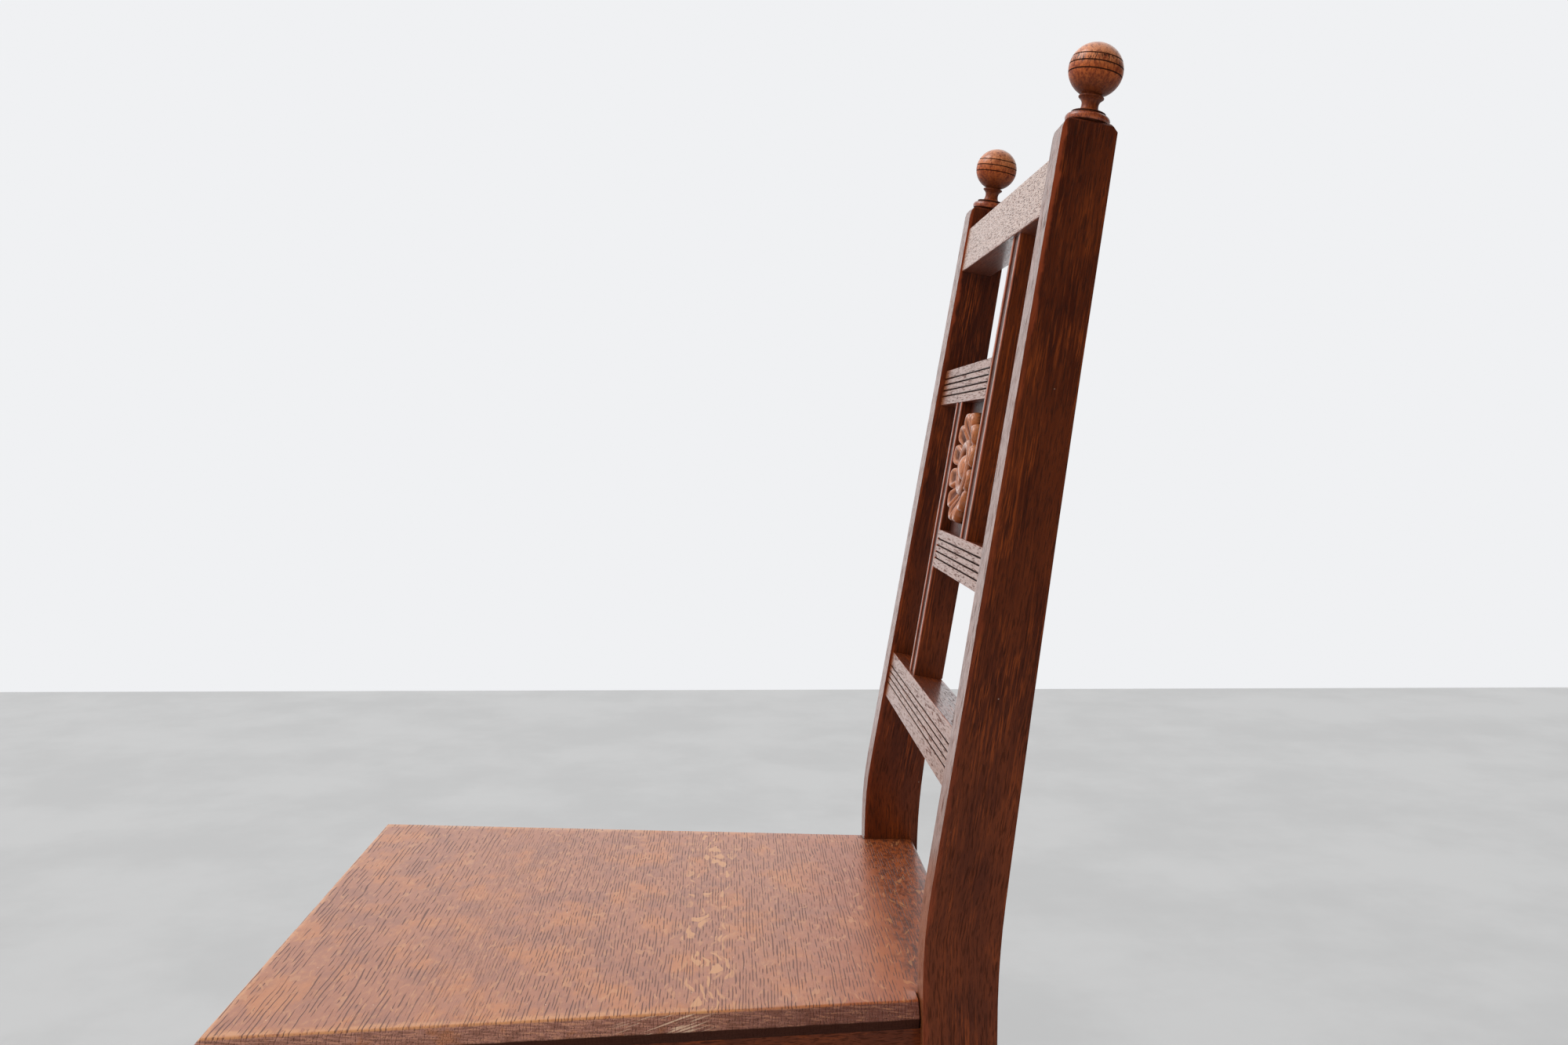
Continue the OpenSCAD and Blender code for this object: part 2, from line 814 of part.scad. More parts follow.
module front_leg_body(side) {
    difference() {
        intersection() {
            translate([side > 0 ? leg_in : -leg_out, 0, 0])
                rotate([90, 0, 0])
                    linear_extrude(seat_depth)
                        leg_outline();
            translate([-big / 2, leg_front, 0])
                rotate([90, 0, 90])
                    linear_extrude(big)
                        leg_outline();
        }
        front_apron_tenons(glue_gap);
        front_stretcher_tenons(glue_gap);
        side_apron_tenons(side, glue_gap);
        side_stretcher_tenons(side, glue_gap);
    }
}

module front_apron_body() {
    difference() {
        union() {
            translate([-leg_in, apron_front, apron_low])
                cube([2 * leg_in, apron_t, apron_h]);
            front_apron_tenons(0);
        }
        block_screw_set(screw_gap);
    }
}

module rear_apron_body() {
    intersection() {
        translate([-big / 2, rear_apron_in, apron_low])
            cube([big, apron_t, apron_h]);
        between_posts(0);
    }
    rear_apron_tenons(0);
}

module side_apron_body(side) {
    difference() {
        union() {
            side_prism(side, side_x(0) - side_apron_in, side_x(leg_back) - side_apron_in, 0, leg_back,
                apron_wide, apron_low, apron_h);
            side_apron_tenons(side, 0);
        }
        block_screw_set(screw_gap);
    }
}

module rear_stretcher_body() {
    intersection() {
        translate([-big / 2, rear_apron_in, cross_stretcher_low])
            cube([big, stretcher_t, stretcher_h]);
        between_posts(0);
    }
    rear_stretcher_tenons(0);
}

module front_stretcher_body() {
    translate([-leg_in, leg_front + (leg_w - stretcher_t) / 2, cross_stretcher_low])
        cube([2 * leg_in, stretcher_t, stretcher_h]);
    front_stretcher_tenons(0);
}

module side_stretcher_body(side) {
    side_stretcher_bar(side, 0, stretcher_t, side_stretcher_low, stretcher_h);
    side_stretcher_tenons(side, 0);
}

module corner_block_body(side) {
    back_y = apron_front + apron_t;
    far_y = leg_back + block_leg;
    near_x = leg_in - block_leg;
    difference() {
        translate([0, 0, block_z])
            linear_extrude(block_h)
                polygon([
                    [side * near_x, back_y], [side * leg_in, back_y], [side * leg_in, leg_back],
                    [side * apron_x(leg_back), leg_back], [side * apron_x(far_y), far_y],
                    [side * (apron_x(far_y) - block_edge), far_y], [side * near_x, back_y + block_edge]
                ]);
        block_screw_set(screw_gap);
        seat_screw_set(screw_gap);
    }
}

module rear_block_body(side) {
    near_x = apron_x(0) - rear_block_leg;
    difference() {
        translate([0, 0, block_z])
            linear_extrude(block_h)
                polygon([
                    [side * near_x, rear_apron_in], [side * apron_x(0), rear_apron_in],
                    [side * apron_x(0), 0],
                    [side * apron_x(-rear_block_leg), -rear_block_leg],
                    [side * (apron_x(-rear_block_leg) - block_edge), -rear_block_leg],
                    [side * near_x, rear_apron_in - block_edge]
                ]);
        seat_screw_set(screw_gap);
    }
}

module screw(g) {
    head_h = (screw_head_d - screw_d) / 2;
    cylinder(h = head_h, d1 = screw_head_d + 2 * g, d2 = screw_d + 2 * g);
    cylinder(h = screw_len + g, d = screw_d + 2 * g);
    if (g > 0)
        translate([0, 0, -2 * block_leg])
            cylinder(h = 2 * block_leg, d = screw_head_d + 2 * g);
}

module block_screw_set(g) {
    z = block_z + block_h / 2;
    side_y = leg_back + screw_in;
    for (side = [-1, 1]) {
        translate([side * (leg_in - screw_in), apron_front + apron_t + screw_len - screw_bite, z])
            rotate([90, 0, 0])
                screw(g);
        translate([side * apron_x(side_y), side_y, z])
            rotate([0, 0, side > 0 ? side_angle : 180 - side_angle])
                translate([screw_bite - screw_len, 0, 0])
                    rotate([0, 90, 0])
                        screw(g);
    }
}

module seat_screw_set(g) {
    for (side = [-1, 1]) {
        translate([side * (leg_in - block_edge), leg_back + seat_screw_front, block_z + screw_sink])
            screw(g);
        translate([side * (apron_x(0) - seat_screw_rear), 0, block_z + screw_sink])
            screw(g);
    }
}

module seat_board() {
    color(seat_tone)
        place()
            seat_body();
}

module back_post_left() {
    color(post_tone)
        place()
            back_post(1);
}

module back_post_right() {
    color(post_tone)
        place()
            back_post(-1);
}

module finial_left() {
    color(turned_tone)
        place()
            finial(1);
}

module finial_right() {
    color(turned_tone)
        place()
            finial(-1);
}

module crest_rail() {
    color(rail_tone)
        place()
            crest_body();
}

module upper_reeded_rail() {
    color(rail_tone)
        place()
            upper_body();
}

module lower_reeded_rail() {
    color(rail_tone)
        place()
            lower_body();
}

module bottom_reeded_rail() {
    color(rail_tone)
        place()
            bottom_body();
}

module slat_left() {
    color(post_tone)
        place()
            slat_left_body();
}

module slat_right() {
    color(post_tone)
        place()
            slat_right_body();
}

module carved_panel() {
    color(carved_tone)
        place()
            panel_body();
}

module front_leg_left() {
    color(post_tone)
        place()
            front_leg_body(1);
}

module front_leg_right() {
    color(post_tone)
        place()
            front_leg_body(-1);
}

module front_apron() {
    color(rail_tone)
        place()
            front_apron_body();
}

module rear_apron() {
    color(rail_tone)
        place()
            rear_apron_body();
}

module side_apron_left() {
    color(rail_tone)
        place()
            side_apron_body(1);
}

module side_apron_right() {
    color(rail_tone)
        place()
            side_apron_body(-1);
}

module front_stretcher() {
    color(post_tone)
        place()
            front_stretcher_body();
}

module rear_stretcher() {
    color(post_tone)
        place()
            rear_stretcher_body();
}

module side_stretcher_left() {
    color(post_tone)
        place()
            side_stretcher_body(1);
}

module side_stretcher_right() {
    color(post_tone)
        place()
            side_stretcher_body(-1);
}

module corner_block_left() {
    color(block_tone)
        place()
            corner_block_body(1);
}

module corner_block_right() {
    color(block_tone)
        place()
            corner_block_body(-1);
}

module rear_block_left() {
    color(block_tone)
        place()
            rear_block_body(1);
}

module rear_block_right() {
    color(block_tone)
        place()
            rear_block_body(-1);
}

module wood_screws() {
    color(steel_tone)
        place() {
            block_screw_set(0);
            seat_screw_set(0);
        }
}

seat_board();
back_post_left();
back_post_right();
finial_left();
finial_right();
crest_rail();
upper_reeded_rail();
lower_reeded_rail();
bottom_reeded_rail();
slat_left();
slat_right();
carved_panel();
front_leg_left();
front_leg_right();
front_apron();
rear_apron();
side_apron_left();
side_apron_right();
front_stretcher();
rear_stretcher();
side_stretcher_left();
side_stretcher_right();
corner_block_left();
corner_block_right();
rear_block_left();
rear_block_right();
wood_screws();
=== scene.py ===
"""Oak side chair with ball finials: the pieces that show, their finishes and the stage."""

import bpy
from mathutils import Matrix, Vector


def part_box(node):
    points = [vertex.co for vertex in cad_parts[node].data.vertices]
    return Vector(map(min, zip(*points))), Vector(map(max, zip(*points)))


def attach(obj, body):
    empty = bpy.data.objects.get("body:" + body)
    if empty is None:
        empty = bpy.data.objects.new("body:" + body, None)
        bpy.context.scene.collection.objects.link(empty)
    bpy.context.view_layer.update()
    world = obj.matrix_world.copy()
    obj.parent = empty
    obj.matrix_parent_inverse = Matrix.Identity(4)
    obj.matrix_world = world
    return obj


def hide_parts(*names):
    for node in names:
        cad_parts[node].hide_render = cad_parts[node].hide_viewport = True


bl_info = {
    "name": "Oak side chair",
    "version": (1, 0, 0),
    "blender": (4, 5, 0),
    "location": "3D View > Sidebar > Chair",
    "description": "Pieces, finishes and stage of an oak side chair with a pinwheel back",
    "category": "Object",
}

import math

import bmesh
import bpy
from bpy.props import FloatProperty, FloatVectorProperty, IntProperty, PointerProperty
from bpy.types import Operator, Panel, PropertyGroup
from mathutils import Matrix, Vector, noise
from mathutils.bvhtree import BVHTree

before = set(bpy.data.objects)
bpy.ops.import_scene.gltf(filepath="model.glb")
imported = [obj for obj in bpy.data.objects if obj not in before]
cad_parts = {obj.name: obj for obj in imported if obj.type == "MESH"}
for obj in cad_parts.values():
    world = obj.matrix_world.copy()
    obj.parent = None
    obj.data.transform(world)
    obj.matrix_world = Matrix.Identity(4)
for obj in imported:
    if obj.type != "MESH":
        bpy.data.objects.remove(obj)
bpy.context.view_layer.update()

MM = 0.001
POST_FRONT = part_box("back_post_left")[0].y
SEAT_LOW, SEAT_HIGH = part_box("seat_board")
WELD = 0.002 * MM  # points closer than this are one point
FLAT = math.radians(0.2)  # faces that turn less than this are one flat face
CUT_FROM, CUT_TO = 0.42 * MM, 3.4 * MM  # how far behind its piece's front a cut lies
# The finial's neck: millimetres out from its waist, and share of the way up to the collar.
NECK = (
    (2.0, 0.0), (1.1, 0.1), (0.4, 0.23), (0.08, 0.38), (0.0, 0.53), (0.1, 0.67), (0.45, 0.79), (1.1, 0.9), (1.8, 0.98),
)


def length(name, description, default):
    """A size in metres."""
    return FloatProperty(
        name=name, description=description, default=default, min=0.0, precision=5, subtype="DISTANCE", unit="LENGTH"
    )


def turn(name, description, degrees):
    """An angle, given in degrees."""
    return FloatProperty(
        name=name, description=description, default=math.radians(degrees), subtype="ANGLE", unit="ROTATION"
    )


def tone(name, description, default):
    """A colour in linear values."""
    return FloatVectorProperty(
        name=name, description=description, default=default, size=3, min=0.0, max=1.0, subtype="COLOR"
    )


def share(name, description, default):
    """A plain number."""
    return FloatProperty(name=name, description=description, default=default, min=0.0)


def count(name, description, default):
    return IntProperty(name=name, description=description, default=default, min=1)


def point(name, description, default):
    """A place or a direction on the chair's own axes."""
    return FloatVectorProperty(name=name, description=description, default=default, subtype="XYZ")


class SeatSizes(PropertyGroup):
    """The seat's taper and how its arrises are worn."""

    taper: share("Taper", "How far each side comes in over its depth", 0.11558)
    wear: length("Wear", "Depth of the broad hollows in the arrises", 0.00045)
    nicks: length("Nicks", "Depth of the small hollows in the arrises", 0.00025)


class BackSizes(PropertyGroup):
    """The lean of the back and the sizes of its parts."""

    rake: turn("Rake", "Backward lean of the back", 9.6)
    splay: turn("Splay", "Inward lean of each back post", 2.4)
    span: length("Post span", "Width over the back posts at the knee", 0.375)
    post_thickness: length("Post thickness", "Side to side thickness of a back post", 0.0246)
    knee: length("Knee", "Height of the posts' knee above the floor", 0.489)
    rise: length("Rise", "Length of the posts above the knee", 0.454)
    top_depth: length("Top depth", "Depth of a back post at its top", 0.0303)
    crest_back: length("Crest set-back", "How far the crest's front is behind the post fronts", 0.0015)
    rail_back: length("Rail set-back", "The same for the slats and the two upper reeded rails", 0.004)
    bottom_back: length("Bottom set-back", "The same for the bottom rail", 0.002)
    panel_middle: length("Panel middle", "Height of the rosette above the knee", 0.258)
    panel_half: length("Panel half width", "Half the width of the carved opening", 0.046)
    panel_rise: length("Panel half height", "Half the height of the carved opening", 0.0445)
    ground: length("Ground", "Depth of the carved ground behind the post fronts", 0.011)
    board: length("Panel board", "Thickness of the panel behind its ground", 0.007)
    tongue: length("Tongue", "Length of the panel's tongue on all four edges", 0.005)


class FinialSizes(PropertyGroup):
    """The turned ball and its base."""

    ball: length("Ball", "Diameter of the ball", 0.03018)
    rise: length("Ball rise", "Height of the ball's middle above the post top", 0.031)
    base: length("Base", "Diameter of the base moulding", 0.025)
    base_height: length("Base height", "Height of the base moulding", 0.0056)
    step: length("Step", "Diameter of the thin step", 0.0192)
    step_height: length("Step height", "Height of the thin step", 0.0014)
    neck: length("Neck", "Diameter of the neck", 0.0094)
    collar: length("Collar", "Diameter of the collar", 0.0142)
    collar_height: length("Collar height", "Height of the collar", 0.0013)
    throat: length("Throat", "Diameter of the throat at the ball", 0.0116)
    throat_height: length("Throat height", "Height of the throat above the collar", 0.0008)
    scribe_top: length("Scribe top", "Height of the top scribed line above the ball's middle", 0.0055)
    scribe_pitch: length("Scribe pitch", "Spacing of the scribed lines", 0.0043)
    scribe_depth: length("Scribe depth", "Depth of a scribed line", 0.0004)
    spigot: length("Spigot", "Diameter of the spigot", 0.01)
    spigot_length: length("Spigot length", "Length of the spigot", 0.013)
    segments: count("Segments", "Steps round the turning", 72)


class CarvingSizes(PropertyGroup):
    """The rosette on the panel."""

    petals: count("Petals", "Number of petals", 12)
    tip: length("Petal tip", "Radius of the middle of a petal's tip", 0.030)
    tip_half: length("Petal tip half width", "Half the width of a petal's tip", 0.0076)
    root: length("Petal root", "Radius where the petals start", 0.016)
    root_half: length("Petal root half width", "Half the width of a petal's start", 0.0037)
    root_height: length("Petal root height", "Height of a petal above the ground where it starts", 0.003)
    tip_height: length("Petal tip height", "Height of a petal's tip above the ground", 0.008)
    rim: length("Petal rim", "Width of the rounded rim of a petal", 0.0026)
    dish: length("Dish", "Depth of the hollow in a petal", 0.0018)
    ring: length("Ring", "Radius of the ring", 0.0155)
    ring_half: length("Ring half width", "Half the width of the ring", 0.0037)
    ring_height: length("Ring height", "Height of the ring above the ground", 0.0068)
    groove: length("Groove", "Depth of the two grooves round the ring", 0.0003)
    groove_half: length("Groove half width", "Half the width of a groove", 0.00035)
    tool: length("Tool marks", "Depth of the gouge's marks", 0.00012)
    boss: length("Boss", "Radius of the boss", 0.0093)
    boss_height: length("Boss height", "Height of the boss above the ground", 0.0086)
    cell: length("Cell", "Spacing of the points of the carved surface", 0.00052)


class EdgeSizes(PropertyGroup):
    """How far the arrises of each kind of piece are eased."""

    seat: length("Seat", "Easing of the seat", 0.0011)
    post: length("Posts", "Easing of posts and legs", 0.0018)
    rail: length("Rails", "Easing of rails, aprons and stretchers", 0.0009)
    reed: length("Reeds", "Easing of the lips of the reeding", 0.0004)
    slat: length("Slats", "Easing of the slats", 0.0009)
    block: length("Blocks", "Easing of the blocks", 0.0007)


class WoodColours(PropertyGroup):
    """The colours of the finishes."""

    seat_rose: tone("Seat rose", "Handled pinkish wood of the seat", (0.435, 0.152, 0.070))
    seat_orange: tone("Seat orange", "Warm patches of the seat", (0.56, 0.188, 0.052))
    seat_plum: tone("Seat plum", "Cool dark patches of the seat", (0.27, 0.090, 0.052))
    seat_worn: tone("Seat worn", "Bare wood at the seat's arrises", (0.66, 0.29, 0.12))
    seat_edge: tone("Seat edge", "Bevel under the seat's top arris", (0.44, 0.20, 0.150))
    seat_edge_rear: tone("Seat edge, rear", "The same bevel beside the back posts", (0.20, 0.080, 0.062))
    # Partly redder stain and partly painted shade, where the seat mirrors the dark back.
    seat_warm_stain_and_shade: tone("Seat warm", "Redder stain towards the posts", (0.38, 0.092, 0.026))
    # Partly dark stain and partly painted shade between the back posts; also used for dark streaks on the edge.
    seat_tail_stain_and_shade: tone("Seat tail", "Dark stain left between the posts", (0.105, 0.026, 0.011))
    seat_tail_warm: tone("Seat tail, warm", "Redder patches in that stain", (0.31, 0.074, 0.021))
    seat_pore: tone("Seat pores", "Dirt in the seat's open pores", (0.085, 0.030, 0.022))
    # Painted shade: the downward-facing underside bevel is painted dark.
    seat_underside_shade: tone("Seat underside", "Dark stain of the underside", (0.045, 0.010, 0.004))
    seat_chip: tone("Seat chips", "Bare wood in tiny chips of the seat", (0.75, 0.50, 0.34))
    ray: tone("Ray flecks", "Golden ray flecks", (0.62, 0.28, 0.110))
    frame_dark: tone("Frame dark", "Darker stain of the frame", (0.060, 0.011, 0.0045))
    frame_light: tone("Frame light", "Redder stain of the frame", (0.185, 0.038, 0.010))
    # Partly handling wear and partly a painted reflection of the bright room on the forward faces.
    frame_front_wear_and_sheen: tone("Frame front", "Handled front faces of the frame", (0.29, 0.100, 0.034))
    frame_flame: tone("Frame flame", "Warm streaks of the frame", (0.33, 0.066, 0.012))
    frame_worn: tone("Frame worn", "Rubbed arrises of the frame", (0.45, 0.115, 0.060))
    # Dirt in the grooves, and painted shade in them.
    frame_groove_dirt_and_shade: tone("Frame cuts", "Stain and dirt in grooves", (0.012, 0.005, 0.004))
    frame_chip: tone("Frame chips", "Bare wood in tiny chips of the frame", (0.42, 0.30, 0.24))
    # Partly wear and partly a painted reflection of the bright room on the crest's front.
    crest_front_wear_and_sheen: tone("Crest front", "Paler front face of the crest rail", (0.40, 0.175, 0.073))
    post_corner: tone("Post corner", "Warm strip behind the posts' front corners", (0.38, 0.070, 0.023))
    turned_dark: tone("Turned dark", "Darker stain of the turnings", (0.24, 0.042, 0.012))
    turned_light: tone("Turned light", "Paler stain of the turnings", (0.56, 0.130, 0.030))
    # Handling wear and a painted highlight on the top of the ball.
    turned_worn_and_highlight: tone("Turned worn", "Handled tops of the turnings", (0.78, 0.29, 0.12))
    # Painted shade under the ball and down the neck.
    turned_underside_shade: tone("Turned low", "Dark stain under the ball", (0.075, 0.018, 0.008))
    turned_pore: tone("Turned pores", "Open pores of the turnings", (0.06, 0.016, 0.007))
    # Dark scribed lines and cracks, and painted shade lines at the step's rim and under the base.
    turned_lines_and_shade: tone("Turned cuts", "Scribed lines and cracks of the ball", (0.030, 0.008, 0.004))
    base_dark: tone("Base dark", "Darker stain of the base moulding", (0.20, 0.034, 0.012))
    base_light: tone("Base light", "Paler stain of the base moulding", (0.42, 0.10, 0.036))
    # Stain and painted shade in the carving's hollows.
    carved_hollow_stain_and_shade: tone("Carved dark", "Stain left in the carving's hollows", (0.024, 0.007, 0.004))
    carved_light: tone("Carved light", "Rubbed tops of the carving", (0.52, 0.170, 0.055))
    pore: tone("Pores", "Dark filling of the open pores", (0.030, 0.009, 0.005))
    block: tone("Blocks", "Bare wood of the inner blocks", (0.40, 0.235, 0.115))
    block_dark: tone("Blocks, dark", "Darker bands and pores of the inner blocks", (0.21, 0.11, 0.05))
    steel: tone("Steel", "Dull steel of the screws", (0.42, 0.41, 0.39))
    tarnish: tone("Tarnish", "Brown tarnish of the screws", (0.16, 0.12, 0.09))


class StageSettings(PropertyGroup):
    """Floor, light and camera."""

    floor: tone("Floor", "Colour of the floor", (0.575, 0.575, 0.57))
    wall: tone("Wall", "Colour of the wall behind", (0.871, 0.879, 0.896))
    room: tone("Room", "Light from the dim side", (0.05, 0.048, 0.046))
    sheen: share("Sheen", "Brightness of the room in reflections", 1.14)
    bright_side: point("Bright side", "Where the room is brightest", (-0.75, -0.6, 0.3))
    key: share("Key lamp", "Strength of the large soft lamp", 1.35)
    key_from: point("Key direction", "Where that lamp is", (-0.13, -0.62, 0.77))
    fill: share("Fill lamp", "Strength of the lamp beside the camera", 0.8)
    fill_from: point("Fill direction", "Where that lamp is", (0.80, -0.35, 0.48))
    lens: FloatProperty(name="Lens", description="Focal length", default=35.0, min=1.0, unit="CAMERA")
    place: point("Camera place", "Where the camera stands", (0.99932, 0.03041, 0.76039))
    yaw: turn("Yaw", "Turn of the camera from looking along -X", -2.135)
    pitch: turn("Pitch", "How far the camera looks down", 3.119)
    roll: turn("Roll", "Tilt of the camera about its own axis", 0.1765)


class Number:
    """One output of a shader node. Arithmetic on it adds Math nodes."""

    def __init__(self, nodes, socket):
        self.nodes, self.socket = nodes, socket

    def __add__(self, other):
        return self.nodes.math("ADD", self, other)

    def __sub__(self, other):
        return self.nodes.math("SUBTRACT", self, other)

    def __rsub__(self, other):
        return self.nodes.math("SUBTRACT", other, self)

    def __mul__(self, other):
        return self.nodes.math("MULTIPLY", self, other)

    def __abs__(self):
        return self.nodes.math("ABSOLUTE", self)

    __radd__, __rmul__ = __add__, __mul__


class Nodes:
    """A node tree, and a few patterns made of its nodes."""

    def __init__(self, tree):
        self.tree = tree

    def make(self, kind, settings=None, links=None, output=0):
        """Adds a node, sets it up, feeds its sockets and returns one output."""
        node = self.tree.nodes.new("ShaderNode" + kind)
        for key, value in (settings or {}).items():
            setattr(node, key, value)
        for key, value in (links or {}).items():
            self.feed(node.inputs[key], value)
        return Number(self, node.outputs[output])

    def feed(self, socket, value):
        """Links a socket, or sets its value."""
        if isinstance(value, Number):
            self.tree.links.new(value.socket, socket)
        elif socket.type == "RGBA" and len(value) == 3:
            socket.default_value = (*value, 1.0)
        else:
            socket.default_value = value

    def math(self, operation, *values):
        return self.make("Math", {"operation": operation}, dict(enumerate(values)))

    def vector(self, x, y, z):
        return self.make("CombineXYZ", links={0: x, 1: y, 2: z})

    def shifted(self, place, offset):
        return self.make("VectorMath", {"operation": "ADD"}, {0: place, 1: offset})

    def scaled(self, place, along, across, seed=0.0):
        """A place in which one unit is `along` the grain and `across` it, moved on by the seed."""
        sizes = (1 / along, 1 / across, 1 / across)
        return self.make("VectorMath", {"operation": "MULTIPLY_ADD"}, {0: place, 1: sizes, 2: (seed, seed, seed)})

    def cloud(self, place, along, across, detail, roughness=0.5, seed=0.0):
        """Soft noise between 0 and 1, in lumps of about the given sizes."""
        place = self.scaled(place, along, across, seed)
        return self.make("TexNoise", links={"Vector": place, "Scale": 1.0, "Detail": detail, "Roughness": roughness})

    def blotches(self, place, along, across, start, end):
        """Uneven blotches, 0 to 1."""
        return self.ramp(self.cloud(place, along, across, 3.0, 0.6), start, end)

    def cells(self, place, output="Distance"):
        """Distance to the nearest of many scattered points, or a colour for each."""
        return self.make("TexVoronoi", links={"Vector": place, "Scale": 1.0}, output=output)

    def larger(self, *values):
        return self.math("MAXIMUM", *values)

    def ramp(self, value, start, end, low=0.0, high=1.0):
        """Goes smoothly from low to high as value goes from start to end."""
        links = {"Value": value, "From Min": start, "From Max": end, "To Min": low, "To Max": high}
        return self.make("MapRange", {"interpolation_type": "SMOOTHSTEP"}, links)

    def blend(self, factor, first, second):
        """A colour between two others."""
        return self.make("Mix", {"data_type": "RGBA"}, {0: factor, 6: first, 7: second}, 2)

    def layers(self, colour, *coats):
        """A colour under thin coats, each given as how much it covers and its own colour."""
        for cover, coat in coats:
            colour = self.blend(cover, colour, coat)
        return colour

    def mark(self, name):
        """A number stored on the mesh."""
        return self.make("Attribute", {"attribute_name": name}, output="Fac")


class Finish(Nodes):
    """The node tree of one material."""

    def __init__(self, name):
        self.material = bpy.data.materials.new(name)
        self.material.use_nodes = True
        super().__init__(self.material.node_tree)
        self.shader = next(n for n in self.tree.nodes if n.type == "BSDF_PRINCIPLED")
        place = self.make("TexCoord", output="Object")
        self.x, self.y, self.z = (self.make("SeparateXYZ", links={0: place}, output=axis) for axis in "XYZ")

    def finish(self, colour, roughness, height, gloss, gloss_roughness, bend=1.5, body=0.5):
        """Feeds the shader.

        The height is in millimetres. A lower bend keeps the gloss to grazing angles, and body is the
        shine under the polish.
        """
        bump = self.make("Bump", links={"Strength": 1.0, "Distance": MM, "Height": height}, output="Normal")
        values = {
            "Base Color": colour, "Roughness": roughness, "Normal": bump, "Coat Weight": gloss,
            "Coat Roughness": gloss_roughness, "IOR": bend, "Coat IOR": bend, "Specular IOR Level": body,
        }
        for socket, value in values.items():
            self.feed(self.shader.inputs[socket], value)
        return self.material


class Oak(Finish):
    """Stained oak: growth bands, patches and open pores along a grain direction."""

    def __init__(self, name, grain, seed):
        super().__init__(name)
        self.wood = self.shifted(grain(self), seed)
        warp = self.cloud(self.wood, 70.0, 16.0, 2.0) * 3.0
        self.wavy = self.shifted(self.wood, self.vector(0.0, warp, warp))
        self.patches = self.ramp(self.cloud(self.wood, 75.0, 30.0, 3.0, 0.55), 0.36, 0.64)
        self.bands = self.ramp(self.cloud(self.wavy, 260.0, 2.4, 2.0, 0.6), 0.34, 0.66)
        self.fibres = self.cloud(self.wavy, 22.0, 0.45, 2.0, 0.6)

    def streaks(self, along, across, start, end, seed=0.0):
        """Long thin marks with the grain, 0 to 1."""
        return self.ramp(self.cloud(self.wavy, along, across, 1.0, seed=seed), start, end)

    def rows(self, spacing, length, thin, seed=0.0):
        """Dashes of open pores in rows that follow the growth rings, 0 to 1."""
        drift = self.cloud(self.wood, 60.0, 8.0, 2.0, seed=seed) * 10.0
        across = self.make("SeparateXYZ", links={0: self.wavy}, output="Y")
        line = self.ramp(self.math("SINE", across * (math.tau / spacing) + drift), thin, 1.0)
        return line * self.streaks(length, 0.9 * spacing, 0.42, 0.56, seed)

    def specks(self, spacing, size):
        """Tiny pale chips, 0 to 1."""
        near = self.cells(self.scaled(self.wood, spacing, spacing))
        return self.ramp(near, 1.6 * size / spacing, size / spacing)


def millimetres(value):
    return value * (1 / MM)


def grain_place(n, *axes):
    """A place in millimetres, with the axis that the grain follows first."""
    return n.vector(*map(millimetres, axes))


def along_x(n):
    """Grain from side to side."""
    return grain_place(n, n.x, n.y, n.z)


def along_y(n):
    """Grain from front to back."""
    return grain_place(n, n.y, n.x, n.z)


def up_the_post(n):
    """Upright grain that leans with the post above its knee."""
    back = bpy.context.scene.chair_back
    lean = n.larger(n.z - back.knee, 0.0) * math.tan(back.rake)
    return grain_place(n, n.z, n.y - lean, n.x)


def up_the_back(n):
    """Grain that follows the lean of the back."""
    back = bpy.context.scene.chair_back
    lean = (n.z - back.knee) * math.tan(back.rake)
    return grain_place(n, n.z, n.x, n.y - lean)


def upright(n):
    """Upright grain of the inner blocks."""
    return grain_place(n, n.z, n.x, n.y)


